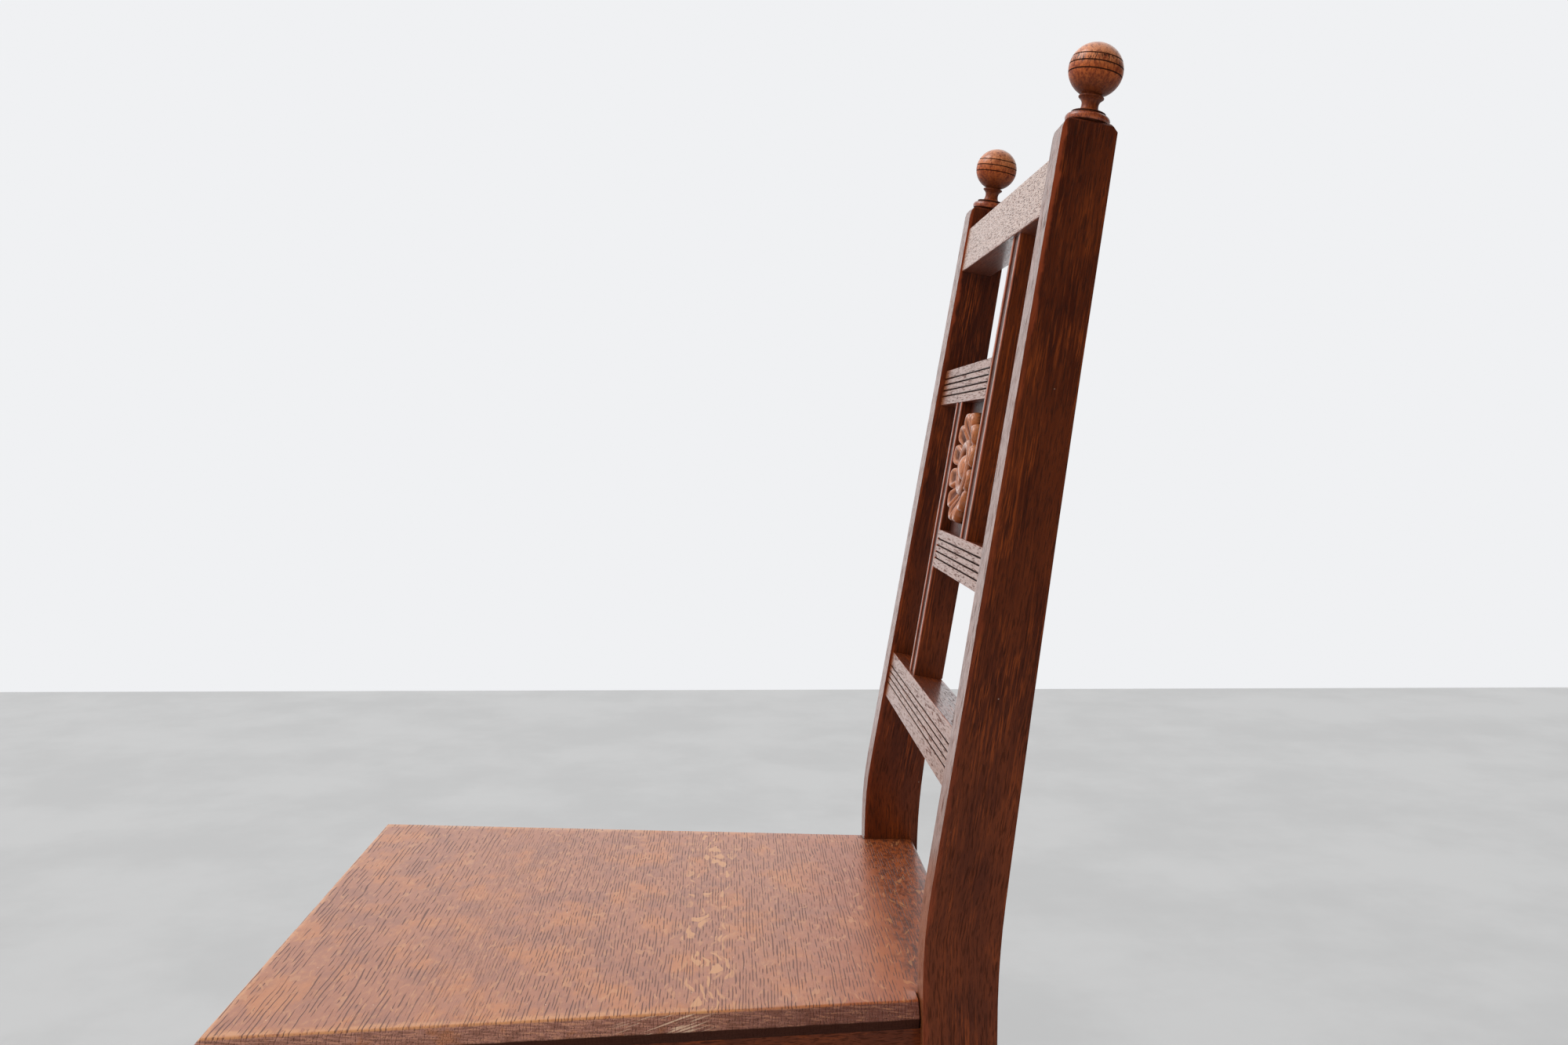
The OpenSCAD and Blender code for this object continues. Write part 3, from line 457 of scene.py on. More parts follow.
def seat_finish(name):
    """Oak of the seat: worn arrises, ray flecks, open pores, and painted shade on the underside bevel, between the
    posts and towards them. All distances are in millimetres.
    """
    c = bpy.context.scene.chair_wood
    n = Oak(name, along_x, (37.0, 11.0, 5.0))
    half = (SEAT_HIGH.x - SEAT_LOW.x) / 2
    inset = millimetres(half - (n.y - SEAT_LOW.y) * bpy.context.scene.chair_seat.taper - abs(n.x))
    front = millimetres(n.y - SEAT_LOW.y)
    back = millimetres(n.y - POST_FRONT)
    depth = millimetres(SEAT_HIGH.z - n.z)
    ragged = n.cloud(n.wood, 9.0, 16.0, 3.0, 0.6) - 0.5
    mottle = n.cloud(n.wavy, 8.0, 3.4, 3.0, 0.65)
    bevel = n.ramp(depth + ragged, 0.7, 1.5)
    # Painted shade on the underside bevel, more than about 8 mm below the top.
    under = n.ramp(depth + ragged, 8.1, 8.9)

    orange = n.blotches(n.wood, 52.0, 38.0, 0.47, 0.64)
    plum = n.blotches(n.shifted(n.wood, (90.0, 20.0, 0.0)), 44.0, 30.0, 0.48, 0.66)
    # Redder stain towards the posts, also painted shade where the seat mirrors the dark back.
    warm = n.ramp(back + ragged * 110.0, -80.0, -18.0)
    # Between the posts: dark stain and painted shade.
    tail = n.ramp(back + ragged * 24.0, -9.0, 6.0)
    tail_tone_stain_and_shade = n.blend(n.ramp(mottle, 0.38, 0.58), c.seat_tail_stain_and_shade, c.seat_tail_warm)
    beside_post = n.ramp(back + ragged * 60.0, -190.0, -30.0)
    worn_side = n.ramp(inset + ragged * 16.0, 17.0, 8.5)
    worn_front = n.ramp(front + ragged * 6.0, 11.0, 7.5)
    worn = n.larger(worn_side * 0.9, worn_front * 0.8) * (1.0 - beside_post) * n.ramp(mottle, 0.3, 0.5)

    flecked = (n.cloud(n.wood, 40.0, 14.0, 2.0) - 0.5) * 30.0
    belt = n.ramp(abs(back + 119.0 + flecked), 19.0, 10.0)
    shape = n.shifted(n.wavy, n.vector(0.0, flecked, 0.0))
    patches = n.scaled(shape, 23.0, 4.6)
    lens = n.ramp(n.cells(patches) + ragged * 0.35, 0.44, 0.32)
    chosen = n.ramp(n.make("SeparateColor", links={0: n.cells(patches, "Color")}), 0.05, 0.15)
    fleck = lens * chosen * belt
    rays = n.scaled(n.shifted(shape, (9.0, 3.0, 0.0)), 26.0, 3.8)
    stray = n.ramp(n.cells(rays), 0.26, 0.16)

    near_front = n.ramp(front + ragged * 120.0, 170.0, 80.0)
    coarse = n.rows(2.9, 20.0, 0.40) * near_front
    fine = n.rows(1.9, 14.0, 0.20, 3.7) * (1.0 - near_front)
    open_pores = n.larger(coarse, fine) * (1.0 - n.larger(fleck, stray) * 0.85)

    along_edge = n.cloud(along_y(n), 22.0, 0.9, 3.0, 0.65)
    ends = n.ramp(n.cells(n.scaled(n.wood, 1.1, 1.1)), 0.42, 0.24)
    edge = n.layers(
        c.seat_edge,
        (beside_post, c.seat_edge_rear),
        (n.ramp(along_edge, 0.40, 0.60) * 0.6, c.seat_tail_stain_and_shade),
        (n.ramp(along_edge, 0.46, 0.36) * 0.35, c.seat_worn),
        (n.ramp(ragged, 0.08, 0.2) * 0.35 * (1.0 - beside_post), c.seat_orange),
        (ends * 0.5, c.pore),
    )
    slant = n.vector(back, depth + back * 0.22, 0.0)
    scored = n.ramp(n.cloud(slant, 20.0, 0.8, 1.0), 0.56, 0.62) * n.ramp(abs(back + 140.0), 32.0, 12.0)
    chips = n.larger(n.specks(15.0, 0.35), scored * bevel)
    colour = n.layers(
        c.seat_rose,
        (orange * 0.8, c.seat_orange),
        (plum * 0.4, c.seat_plum),
        (n.ramp(mottle, 0.52, 0.70) * 0.4, c.ray),
        (n.ramp(mottle, 0.46, 0.30) * 0.3, c.seat_plum),
        # Redder stain and painted shade towards the posts.
        (warm * 0.7, c.seat_warm_stain_and_shade),
        # Dark stain and painted shade between the posts.
        (tail * 0.9, tail_tone_stain_and_shade),
        (worn, c.seat_worn),
        (n.larger(fleck, stray * 0.45), c.ray),
        (open_pores * 0.78, c.seat_pore),
        (bevel * 0.92, edge),
        # Underside bevel painted dark as shade.
        (under * 0.95, c.seat_underside_shade),
        (chips * (1.0 - under) * 0.8, c.seat_chip),
    )
    rough = 0.40 + open_pores * 0.25 + (n.fibres - 0.5) * 0.2 + bevel * 0.15 + under * 0.4
    sag = n.cloud(n.wood, 30.0, 18.0, 1.0)
    height = n.fibres * 0.03 - open_pores * 0.2 + sag * 0.25 + mottle * 0.06 - ends * bevel * 0.06
    return n.finish(colour, rough, height, (1.0 - under) * 0.35, 0.24, 1.36)


def frame_finish(name, grain, seed, lift=0.0, front=0.8, bend=1.2, crest=False):
    """Dark stained oak of the frame.

    lift reddens the stain, front is how far the forward faces are paled, as handling wear and as a painted
    reflection of the bright room, and the crest is paler in front with fine dark flecks.
    """
    c = bpy.context.scene.chair_wood
    n = Oak(name, grain, seed)
    streaks = n.ramp(n.cloud(n.wavy, 70.0, 1.0, 2.0, 0.6), 0.44, 0.66)
    flame = n.blotches(n.wood, 60.0, 20.0, 0.46, 0.62)
    patchy = n.blotches(n.wood, 18.0, 18.0, 0.36, 0.56)
    open_pores = n.larger(n.streaks(11.0, 0.9, 0.57, 0.66), n.streaks(6.0, 0.55, 0.58, 0.66, 5.1) * 0.7)
    if crest:
        open_pores = n.larger(open_pores * 0.3, n.streaks(4.5, 0.5, 0.54, 0.61, 6.3))
    # facing: forward faces, paled as handling wear and as a painted reflection; cut: grooves, darkened as dirt and
    # painted shade.
    facing, cut = n.mark("facing"), n.mark("cut")
    rubbed = n.mark("rubbed") * n.ramp(patchy, 0.0, 0.5, 0.5, 1.0)
    corner = []
    if grain is up_the_post:
        lift = n.ramp(n.z, 0.85, 0.45, lift, lift + 0.35)
        behind = n.make("SeparateXYZ", links={0: grain(n)}, output="Y") - millimetres(POST_FRONT)
        strip = n.ramp(behind + patchy * 1.5, 4.8, 2.4) * n.ramp(behind, -3.0, -1.0)
        higher = n.ramp(n.z, 0.79, 0.87, 0.4, 1.0)
        corner = [(strip * higher * (1.0 - facing) * 0.8, c.post_corner)]
    colour = n.layers(
        c.frame_dark,
        (n.math("MINIMUM", n.patches * 0.55 + lift, 1.0), c.frame_light),
        (streaks * 0.5, c.frame_light),
        (flame * streaks * 0.75, c.frame_flame),
        (n.bands * 0.2, c.frame_dark),
        (open_pores * 0.55, c.pore),
        # Forward faces paler: handling wear and a painted reflection of the bright room.
        (facing * (1.0 - open_pores * 0.9) * front, c.crest_front_wear_and_sheen if crest else c.frame_front_wear_and_sheen),
        *corner,
        (rubbed * (0.35 if grain is along_x else 0.9), c.frame_worn),
        # Grooves darker: dirt and painted shade.
        (cut * 0.95, c.frame_groove_dirt_and_shade),
        (n.specks(21.0, 0.3) * 0.7, c.frame_chip),
    )
    rough = 0.38 + open_pores * 0.25 + (n.fibres - 0.5) * 0.2 + cut * 0.4
    sag = n.cloud(n.wood, 26.0, 14.0, 1.0)
    height = n.fibres * 0.03 - open_pores * 0.14 + sag * 0.2
    return n.finish(colour, rough, height, (1.0 - cut) * (1.0 - open_pores * 0.8), 0.22, bend)


def turned_finish(name):
    """Warmer oak of the turnings, with short cracks along the grain."""
    c = bpy.context.scene.chair_wood
    n = Oak(name, up_the_back, (3.0, 19.0, 8.0))
    mottle = n.cloud(n.wood, 3.0, 1.8, 3.0, 0.65)
    smudge = n.ramp(n.cloud(n.wood, 12.0, 6.0, 2.0, 0.6), 0.56, 0.68)
    high, base, cut = n.mark("high"), n.mark("base"), n.mark("cut")
    pores = n.streaks(4.0, 0.5, 0.58, 0.66)
    cracks = n.streaks(30.0, 0.8, 0.56, 0.60, 2.3) * n.mark("cracked")
    colour = n.layers(
        c.turned_dark,
        (n.ramp(mottle, 0.36, 0.62), c.turned_light),
        # Paler top of the ball: handling wear and a painted highlight.
        (high * n.ramp(mottle, 0.30, 0.50), c.turned_worn_and_highlight),
        (smudge * 0.5, c.turned_dark),
        (base * 0.7, n.blend(n.ramp(mottle, 0.4, 0.6), c.base_dark, c.base_light)),
        (n.bands * 0.15, c.turned_dark),
        # Painted shade under the ball and down the neck.
        (n.mark("low") * 0.75, c.turned_underside_shade),
        (pores * 0.5, c.turned_pore),
        # Dark scribed lines and cracks, and painted shade at the step's rim and under the base.
        (n.larger(cut, cracks) * 0.9, c.turned_lines_and_shade),
    )
    rough = 0.40 + pores * 0.2 + cut * 0.3
    height = n.fibres * 0.02 - pores * 0.08 - cracks * 0.2
    gloss = (0.15 + n.larger(high, base) * 0.85) * (1.0 - cut)
    return n.finish(colour, rough, height, gloss, 0.24, 1.4, 0.15)


def carved_finish(name):
    """Carved oak: stain and painted shade in the hollows, rubbed tops."""
    c = bpy.context.scene.chair_wood
    n = Oak(name, up_the_back, (23.0, 2.0, 31.0))
    raised = n.mark("raised")
    pores = n.streaks(4.0, 0.5, 0.58, 0.66)
    colour = n.layers(
        # Hollows dark with stain and painted shade; tops rubbed.
        c.carved_hollow_stain_and_shade,
        (n.ramp(raised + (n.fibres - 0.5) * 0.2, 0.25, 0.8), c.carved_light),
        (n.patches * 0.3, c.turned_dark),
        (pores * 0.5, c.pore),
    )
    height = n.fibres * 0.05 - pores * 0.08
    return n.finish(colour, 0.36 + pores * 0.3, height, n.ramp(raised, 0.4, 0.7), 0.20, 1.42, 0.15)


def block_finish(name):
    """Bare sawn wood of the inner blocks."""
    c = bpy.context.scene.chair_wood
    n = Oak(name, upright, (5.0, 41.0, 13.0))
    pores = n.ramp(n.cells(n.scaled(n.wavy, 5.0, 0.6)), 0.28, 0.14)
    colour = n.layers(c.block, (n.bands * 0.7, c.block_dark), (pores * 0.4, c.block_dark))
    saw = n.cloud(n.wood, 1.1, 60.0, 1.0)
    return n.finish(colour, 0.75 + (n.fibres - 0.5) * 0.2, saw * 0.12 + n.fibres * 0.06, 0.0, 0.3)


def steel_finish(name):
    """Dull steel with a little tarnish."""
    c = bpy.context.scene.chair_wood
    n = Finish(name)
    tarnish = n.blotches(along_x(n), 3.0, 3.0, 0.4, 0.65)
    n.shader.inputs["Metallic"].default_value = 1.0
    return n.finish(n.blend(tarnish, c.steel, c.tarnish), 0.38 + tarnish * 0.3, tarnish * 0.03, 0.0, 0.3)


def made_once(name, recipe, *grain, **looks):
    """The material of that name, made the first time that it is asked for."""
    return bpy.data.materials.get(name) or recipe(name, *grain, **looks)


def placed(bm, name, material):
    """An object of that mesh, put in the scene."""
    mesh = bpy.data.meshes.new(name)
    bm.to_mesh(mesh)
    bm.free()
    mesh.materials.append(material)
    piece = bpy.data.objects.new(name, mesh)
    bpy.context.scene.collection.objects.link(piece)
    return piece


def show(bm, name, material, node, sharp=10.0):
    """Makes the piece that stands for a CAD node."""
    for face in bm.faces:
        face.smooth = True
    for edge in bm.edges:
        edge.smooth = len(edge.link_faces) == 2 and edge.calc_face_angle() < math.radians(sharp)
    piece = placed(bm, name, material)
    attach(piece, "root")
    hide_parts(node)


def solid_of(node):
    """A welded copy of a CAD node, with its flat faces whole."""
    bm = bmesh.new()
    bm.from_mesh(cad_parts[node].data)
    bmesh.ops.remove_doubles(bm, verts=bm.verts, dist=WELD)
    bmesh.ops.dissolve_limit(bm, angle_limit=FLAT, verts=bm.verts, edges=bm.edges, delimit=set())
    return bm


def neighbours_of(node):
    """Search trees of the nodes whose boxes come near this one."""
    low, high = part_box(node)
    near = []
    for other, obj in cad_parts.items():
        low_2, high_2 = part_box(other)
        if other != node and all(low[i] < high_2[i] + MM and low_2[i] < high[i] + MM for i in range(3)):
            points = [v.co for v in obj.data.vertices]
            near.append(BVHTree.FromPolygons(points, [p.vertices[:] for p in obj.data.polygons]))
    return near


def open_arrises(bm, node, sharpest=25.0):
    """The outward edges that turn by more than that many degrees and that no neighbour covers."""
    trees = neighbours_of(node)
    shortest, probe, reach = 3 * MM, 0.25 * MM, 2 * MM
    found = []
    for edge in bm.edges:
        sides = edge.link_faces
        if len(sides) != 2 or edge.calc_length() < shortest or edge.calc_face_angle_signed() < math.radians(sharpest):
            continue
        middle = (edge.verts[0].co + edge.verts[1].co) / 2
        outside = middle + (sides[0].normal + sides[1].normal).normalized() * probe
        near = [tree.find_nearest(outside, reach)[:2] for tree in trees]
        if not any(place is not None and (outside - place).dot(normal) < 0 for place, normal in near):
            found.append(edge)
    return found


def ease(bm, edges, width):
    """Rounds arrises and marks the new faces as rubbed."""
    rubbed = bm.faces.layers.float.get("rubbed") or bm.faces.layers.float.new("rubbed")
    made = bmesh.ops.bevel(
        bm, geom=edges, offset=width, offset_type="OFFSET", segments=3, profile=0.5,
        affect="EDGES", clamp_overlap=True, material=-1,
    )
    for face in made["faces"]:
        face[rubbed] = 1.0


def mark_front(bm, set_back, dark):
    """Marks the faces that look forward, painted paler as handling wear and a painted reflection, and how dark the
    cuts behind them are painted, as dirt and painted shade.

    set_back is how far the piece's front is behind the post fronts.
    """
    b = bpy.context.scene.chair_back
    facing = bm.faces.layers.float.new("facing")
    cut = bm.faces.layers.float.new("cut")
    for face in bm.faces:
        place = face.calc_center_median()
        behind = (place.y - POST_FRONT) * math.cos(b.rake) - (place.z - b.knee) * math.sin(b.rake) - set_back
        # Forward faces are painted paler, as wear and a painted reflection.
        if behind < CUT_FROM and face.normal.y < -0.4 or dark == 0.0 and face.normal.y < -0.3:
            face[facing] = 1.0
        # Cuts behind the front are painted dark, as dirt and painted shade.
        face[cut] = dark if CUT_FROM < behind < CUT_TO else 0.0


def eased_piece(node, name, material, width, sharpest=25.0, set_back=None, dark=0.0):
    """A CAD node with its open arrises rounded."""
    bm = solid_of(node)
    ease(bm, open_arrises(bm, node, sharpest), width)
    if set_back is not None:
        mark_front(bm, set_back, dark)
    show(bm, name, material, node)


def seat_piece():
    """The seat, cut finely for uneven wear of its arrises."""
    s = bpy.context.scene.chair_seat
    bm = solid_of("seat_board")
    ease(bm, open_arrises(bm, "seat_board"), bpy.context.scene.chair_edges.seat)
    for normal, strips in ((Vector((1, 0, 0)), 38), (Vector((0, 1, 0)), 36)):
        low, high = SEAT_LOW.dot(normal), SEAT_HIGH.dot(normal)
        for i in range(1, strips):
            level = low + (high - low) * i / strips
            bmesh.ops.bisect_plane(
                bm, geom=bm.verts[:] + bm.edges[:] + bm.faces[:], dist=1e-6, plane_co=normal * level, plane_no=normal
            )
    middle = Vector((0.0, (SEAT_LOW.y + SEAT_HIGH.y) / 2, (SEAT_LOW.z + SEAT_HIGH.z) / 2))
    rubbed = bm.faces.layers.float["rubbed"]
    for v in {v for f in bm.faces if f[rubbed] > 0.5 for v in f.verts}:
        if v.co.z >= middle.z:
            depth = s.wear * max(0.0, noise.noise(v.co * 90.0)) + s.nicks * max(0.0, noise.noise(v.co * 300.0))
            inward = middle - v.co
            inward.z = -0.02
            v.co += inward.normalized() * depth
    bmesh.ops.recalc_face_normals(bm, faces=bm.faces)
    show(bm, "seat", made_once("seat_grain", seat_finish), "seat_board", 22.0)


def post_top(side):
    """From a finial's own axis to its place on the post top."""
    b = bpy.context.scene.chair_back
    return (
        Matrix.Translation((side * b.span / 2, POST_FRONT, b.knee))
        @ Matrix.Rotation(-side * b.splay, 4, "Y")
        @ Matrix.Translation((-side * b.post_thickness / 2, 0.0, 0.0))
        @ Matrix.Rotation(-b.rake, 4, "X")
        @ Matrix.Translation((0.0, b.top_depth / 2, b.rise))
    )


def arc(middle_r, middle_z, radius, start, end, steps):
    """Points on a circle in the profile plane, angles in degrees from the horizontal."""
    angles = [math.radians(start + (end - start) * i / steps) for i in range(steps + 1)]
    return [(middle_r + radius * math.cos(a), middle_z + radius * math.sin(a)) for a in angles]


def turning_profile():
    """The finial's outline from the spigot's end to the top of the ball."""
    t = bpy.context.scene.chair_finials
    ball = t.ball / 2
    bead = t.base_height / 2
    ledge = t.base_height + t.step_height
    drop = math.sqrt(ball ** 2 - (t.throat / 2) ** 2)
    top = t.rise - drop - t.throat_height
    low = top - t.collar_height
    points = [(0.0, -t.spigot_length), (t.spigot / 2, -t.spigot_length), (t.spigot / 2, 0.0)]
    points += arc(t.base / 2 - bead, bead, bead, -90, 90, 16)
    eased = 0.2 * MM
    points += [(t.step / 2, t.base_height + 0.05 * MM), (t.step / 2, ledge - eased), (t.step / 2 - eased, ledge)]
    points += [(t.neck / 2 + out * MM, ledge + (low - ledge) * up) for out, up in NECK]
    points += arc(t.collar / 2 - t.collar_height / 2, (low + top) / 2, t.collar_height / 2, -90, 90, 8)
    points += [(t.throat / 2 - 0.3 * MM, top + up * MM) for up in (0.1, 0.4)]
    scribes = [math.asin((t.scribe_top - i * t.scribe_pitch) / ball) for i in range(3)]
    step = math.radians(2.5)
    cut = t.scribe_depth / ball
    angle = -math.asin(drop / ball)
    angles = []
    while angle < math.pi / 2 - step / 2:
        if all(abs(angle - a) > 1.6 * cut for a in scribes):
            angles.append((angle, 0.0))
        angle += step
    for a in scribes:
        angles += [(a - cut, 0.0), (a, 1.0), (a + cut, 0.0)]
    for a, depth in sorted(angles):
        r = ball - depth * t.scribe_depth
        points.append((r * math.cos(a), t.rise + r * math.sin(a)))
    points.append((0.0, t.rise + ball))
    return points


def finial_piece(side, node, name, cracked):
    """A ball finial, turned about its axis and set on its post."""
    t = bpy.context.scene.chair_finials
    bm = bmesh.new()
    marks = {key: bm.verts.layers.float.new(key) for key in ("low", "high", "cracked", "base")}
    verts = [bmesh.ops.create_vert(bm, co=(r, 0.0, z))["vert"][0] for r, z in turning_profile()]
    edges = [bm.edges.new(pair) for pair in zip(verts, verts[1:])]
    bmesh.ops.spin(
        bm, geom=verts + edges, cent=(0, 0, 0), axis=(0, 0, 1), angle=math.tau, steps=t.segments, use_merge=True,
        use_duplicate=False, dvec=(0, 0, 0),
    )
    bmesh.ops.remove_doubles(bm, verts=bm.verts, dist=1e-6)
    bmesh.ops.recalc_face_normals(bm, faces=bm.faces)
    ball = Vector((0, 0, t.rise))
    top_line = t.rise + t.scribe_top
    for v in bm.verts:
        z = v.co.z
        # low: painted shade, darker under the ball and down the neck.
        v[marks["low"]] = ease_in(z, t.rise - 2 * MM, t.rise - 13 * MM) * ease_in(z, t.collar_height, 14 * MM)
        # high: paler handled top of the ball, also a painted highlight.
        v[marks["high"]] = ease_in(z, t.rise - 4 * MM, t.rise + 9 * MM)
        v[marks["base"]] = float(z < t.base_height + 0.1 * MM)
        v[marks["cracked"]] = cracked if top_line - 1.1 * t.scribe_pitch < z < top_line + 0.3 * MM else 0.0
    # cut: dark scribed lines, and painted shade lines at the step's rim and the foot of the base.
    cut = bm.faces.layers.float.new("cut")
    for face in bm.faces:
        middle = face.calc_center_median()
        away = (middle - ball).length
        in_ball = middle.z > t.rise - t.ball / 2 + 2.5 * MM
        scribed = in_ball and t.ball / 4 < away < t.ball / 2 - 0.1 * MM
        rim = t.base_height - 0.2 * MM < middle.z < t.base_height + t.step_height - 0.25 * MM
        face[cut] = float(scribed or rim or middle.z < 1.1 * MM)
    bmesh.ops.transform(bm, matrix=post_top(side), verts=bm.verts)
    show(bm, name, made_once("turned_grain", turned_finish), node, 32.0)


def ease_in(value, start, end):
    """0 before start, 1 after end, smooth between."""
    t = min(max((value - start) / (end - start), 0.0), 1.0)
    return t * t * (3 - 2 * t)


def domed(edge, part):
    """Share of a rounded form's height, from `edge` at its rim to 1 at its crown."""
    return edge + (1 - edge) * part


def petal_height(r, offset):
    """Height of a petal above the ground, and how deep in its hollow; offset is across the petal."""
    c = bpy.context.scene.chair_carving
    edge = c.root_half + (c.tip_half - c.root_half) * min(max((r - c.root) / (c.tip - c.root), 0.0), 1.0)
    if r > c.tip:
        inside = c.tip_half - math.hypot(r - c.tip, offset)
    else:
        inside = edge - abs(offset)
    inside = min(inside, r - c.root + 2 * MM)
    if inside <= 0:
        return 0.0, 0.0
    lift = c.root_height + (c.tip_height - c.root_height) * ease_in(r, c.root + 2 * MM, c.tip + 3 * MM)
    near = min(inside / c.rim, 1.0)
    hollow = ease_in(inside, 1.6 * MM, 5.5 * MM)
    height = lift * domed(0.35, math.sqrt(1 - (1 - near) ** 2)) - c.dish * hollow * ease_in(r, c.root, c.tip)
    return height, hollow


def carved_height(x, v):
    """Height above the ground and a 0 to 1 measure of how rubbed that place is; low values paint the hollows and
    ground dark, as stain and painted shade.
    """
    c = bpy.context.scene.chair_carving
    r = math.hypot(x, v)
    if r < c.boss:
        crown = math.sqrt(1 - (r / c.boss) ** 2)
        return c.boss_height * domed(0.25, crown), 0.45 + 0.5 * crown
    ring = 1 - ((r - c.ring) / c.ring_half) ** 2
    pitch = math.tau / c.petals
    around = (math.atan2(v, x) + pitch) % pitch - pitch / 2
    petal, hollow = petal_height(r * math.cos(around), r * math.sin(around))
    if ring > 0:
        grooves = (c.ring + 1.1 * MM, c.ring - 1.0 * MM)
        groove = sum(max(0.0, 1 - abs(r - place) / c.groove_half) for place in grooves)
        rise = c.ring_height * domed(0.35, math.sqrt(ring)) - c.groove * groove
        if rise > petal:
            return rise, 0.35 + 0.5 * ring - 0.6 * groove
    if petal > 0:
        return petal, 0.5 + 0.45 * petal / c.tip_height - 0.42 * hollow
    return 0.0, 0.12


def carved_piece():
    """The panel: a board whose face is a fine carved surface."""
    b = bpy.context.scene.chair_back
    c = bpy.context.scene.chair_carving
    half_x, half_v = b.panel_half + b.tongue, b.panel_rise + b.tongue
    margin = 0.5 * MM
    bm = bmesh.new()
    raised = bm.verts.layers.float.new("raised")
    bmesh.ops.create_grid(bm, x_segments=round(2 * half_x / c.cell), y_segments=round(2 * half_v / c.cell), size=1.0)
    to_chair = (
        Matrix.Translation((0.0, POST_FRONT, b.knee))
        @ Matrix.Rotation(-b.rake, 4, "X")
        @ Matrix.Translation((0.0, b.ground, b.panel_middle))
    )
    for v in bm.verts:
        x, up = v.co.x * half_x, v.co.y * half_v
        # The second value paints rubbed tops pale and the hollows dark, as stain and painted shade.
        height, rub_and_shade = carved_height(x, up)
        tool = c.tool * noise.noise(Vector((x, up, 0.0)) * 260.0)
        inside = abs(x) < b.panel_half - margin and abs(up) < b.panel_rise - margin
        v.co = Vector((x, -(height + (tool if inside else 0.0)), up))
        v[raised] = rub_and_shade
    out = bmesh.ops.extrude_face_region(bm, geom=bm.faces[:], use_keep_orig=True)
    for v in (g for g in out["geom"] if isinstance(g, bmesh.types.BMVert)):
        v.co.y = b.board
        v[raised] = 0.3
    bmesh.ops.recalc_face_normals(bm, faces=bm.faces)
    bmesh.ops.transform(bm, matrix=to_chair, verts=bm.verts)
    show(bm, "rosette_panel", made_once("carved_grain", carved_finish), "carved_panel", 40.0)


class CHAIR_OT_seat(Operator):
    """Make the seat board"""

    bl_idname = "chair.seat"
    bl_label = "Seat"

    def execute(self, context):
        seat_piece()
        return {"FINISHED"}


class CHAIR_OT_posts(Operator):
    """Make the back posts and front legs"""

    bl_idname = "chair.posts"
    bl_label = "Posts and legs"

    def execute(self, context):
        s = context.scene.chair_edges
        for side, seed in (("left", (7.0, 3.0, 29.0)), ("right", (71.0, 9.0, 2.0))):
            material = made_once(f"post_grain_{side}", frame_finish, up_the_post, seed, front=0.45)
            eased_piece(f"back_post_{side}", f"post_{side}", material, s.post, set_back=0.0)
            eased_piece(f"front_leg_{side}", f"leg_{side}", material, s.post)
        return {"FINISHED"}


class CHAIR_OT_finials(Operator):
    """Turn the two ball finials"""

    bl_idname = "chair.finials"
    bl_label = "Finials"

    def execute(self, context):
        finial_piece(1, "finial_left", "ball_left", 1.0)
        finial_piece(-1, "finial_right", "ball_right", 0.0)
        return {"FINISHED"}


class CHAIR_OT_back_rails(Operator):
    """Make the crest rail and the three reeded rails"""

    bl_idname = "chair.back_rails"
    bl_label = "Back rails"

    def execute(self, context):
        b, s = context.scene.chair_back, context.scene.chair_edges
        material = made_once("rail_grain", frame_finish, along_x, (17.0, 43.0, 6.0), lift=0.25)
        pale = made_once(
            "crest_grain", frame_finish, along_x, (3.0, 27.0, 12.0), lift=0.25, front=1.0, bend=1.45, crest=True
        )
        eased_piece("crest_rail", "crest", pale, s.rail, set_back=b.crest_back)
        for place, behind in (("upper", b.rail_back), ("lower", b.rail_back), ("bottom", b.bottom_back)):
            eased_piece(f"{place}_reeded_rail", f"{place}_rail", material, s.reed, 60.0, behind, 0.85)
        return {"FINISHED"}


class CHAIR_OT_slats(Operator):
    """Make the two fluted slats"""

    bl_idname = "chair.slats"
    bl_label = "Slats"

    def execute(self, context):
        b, s = context.scene.chair_back, context.scene.chair_edges
        material = made_once("slat_grain", frame_finish, up_the_back, (51.0, 4.0, 33.0), lift=0.25)
        for side in ("left", "right"):
            eased_piece(f"slat_{side}", f"fluted_slat_{side}", material, s.slat, 20.0, b.rail_back, 0.5)
        return {"FINISHED"}


class CHAIR_OT_panel(Operator):
    """Carve the rosette panel"""

    bl_idname = "chair.panel"
    bl_label = "Rosette panel"

    def execute(self, context):
        carved_piece()
        return {"FINISHED"}


class CHAIR_OT_base(Operator):
    """Make the aprons, stretchers and inner blocks"""

    bl_idname = "chair.base"
    bl_label = "Aprons, stretchers and blocks"

    def execute(self, context):
        s = context.scene.chair_edges
        cross = made_once("cross_grain", frame_finish, along_x, (61.0, 21.0, 16.0), lift=0.3)
        deep = made_once("deep_grain", frame_finish, along_y, (29.0, 51.0, 3.0), lift=0.3)
        bare = made_once("block_grain", block_finish)
        for part in ("apron", "stretcher"):
            for place in ("front", "rear"):
                eased_piece(f"{place}_{part}", f"{place}_{part}_piece", cross, s.rail)
            for side in ("left", "right"):
                eased_piece(f"side_{part}_{side}", f"{part}_{side}", deep, s.rail)
        for side in ("left", "right"):
            eased_piece(f"corner_block_{side}", f"front_block_{side}", bare, s.block)
            eased_piece(f"rear_block_{side}", f"back_block_{side}", bare, s.block)
        return {"FINISHED"}


class CHAIR_OT_screws(Operator):
    """Give the wood screws their steel"""

    bl_idname = "chair.screws"
    bl_label = "Screws"

    def execute(self, context):
        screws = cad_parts["wood_screws"]
        steel = made_once("screw_tarnish", steel_finish)
        for place in screws.material_slots:
            place.material = steel
        return {"FINISHED"}


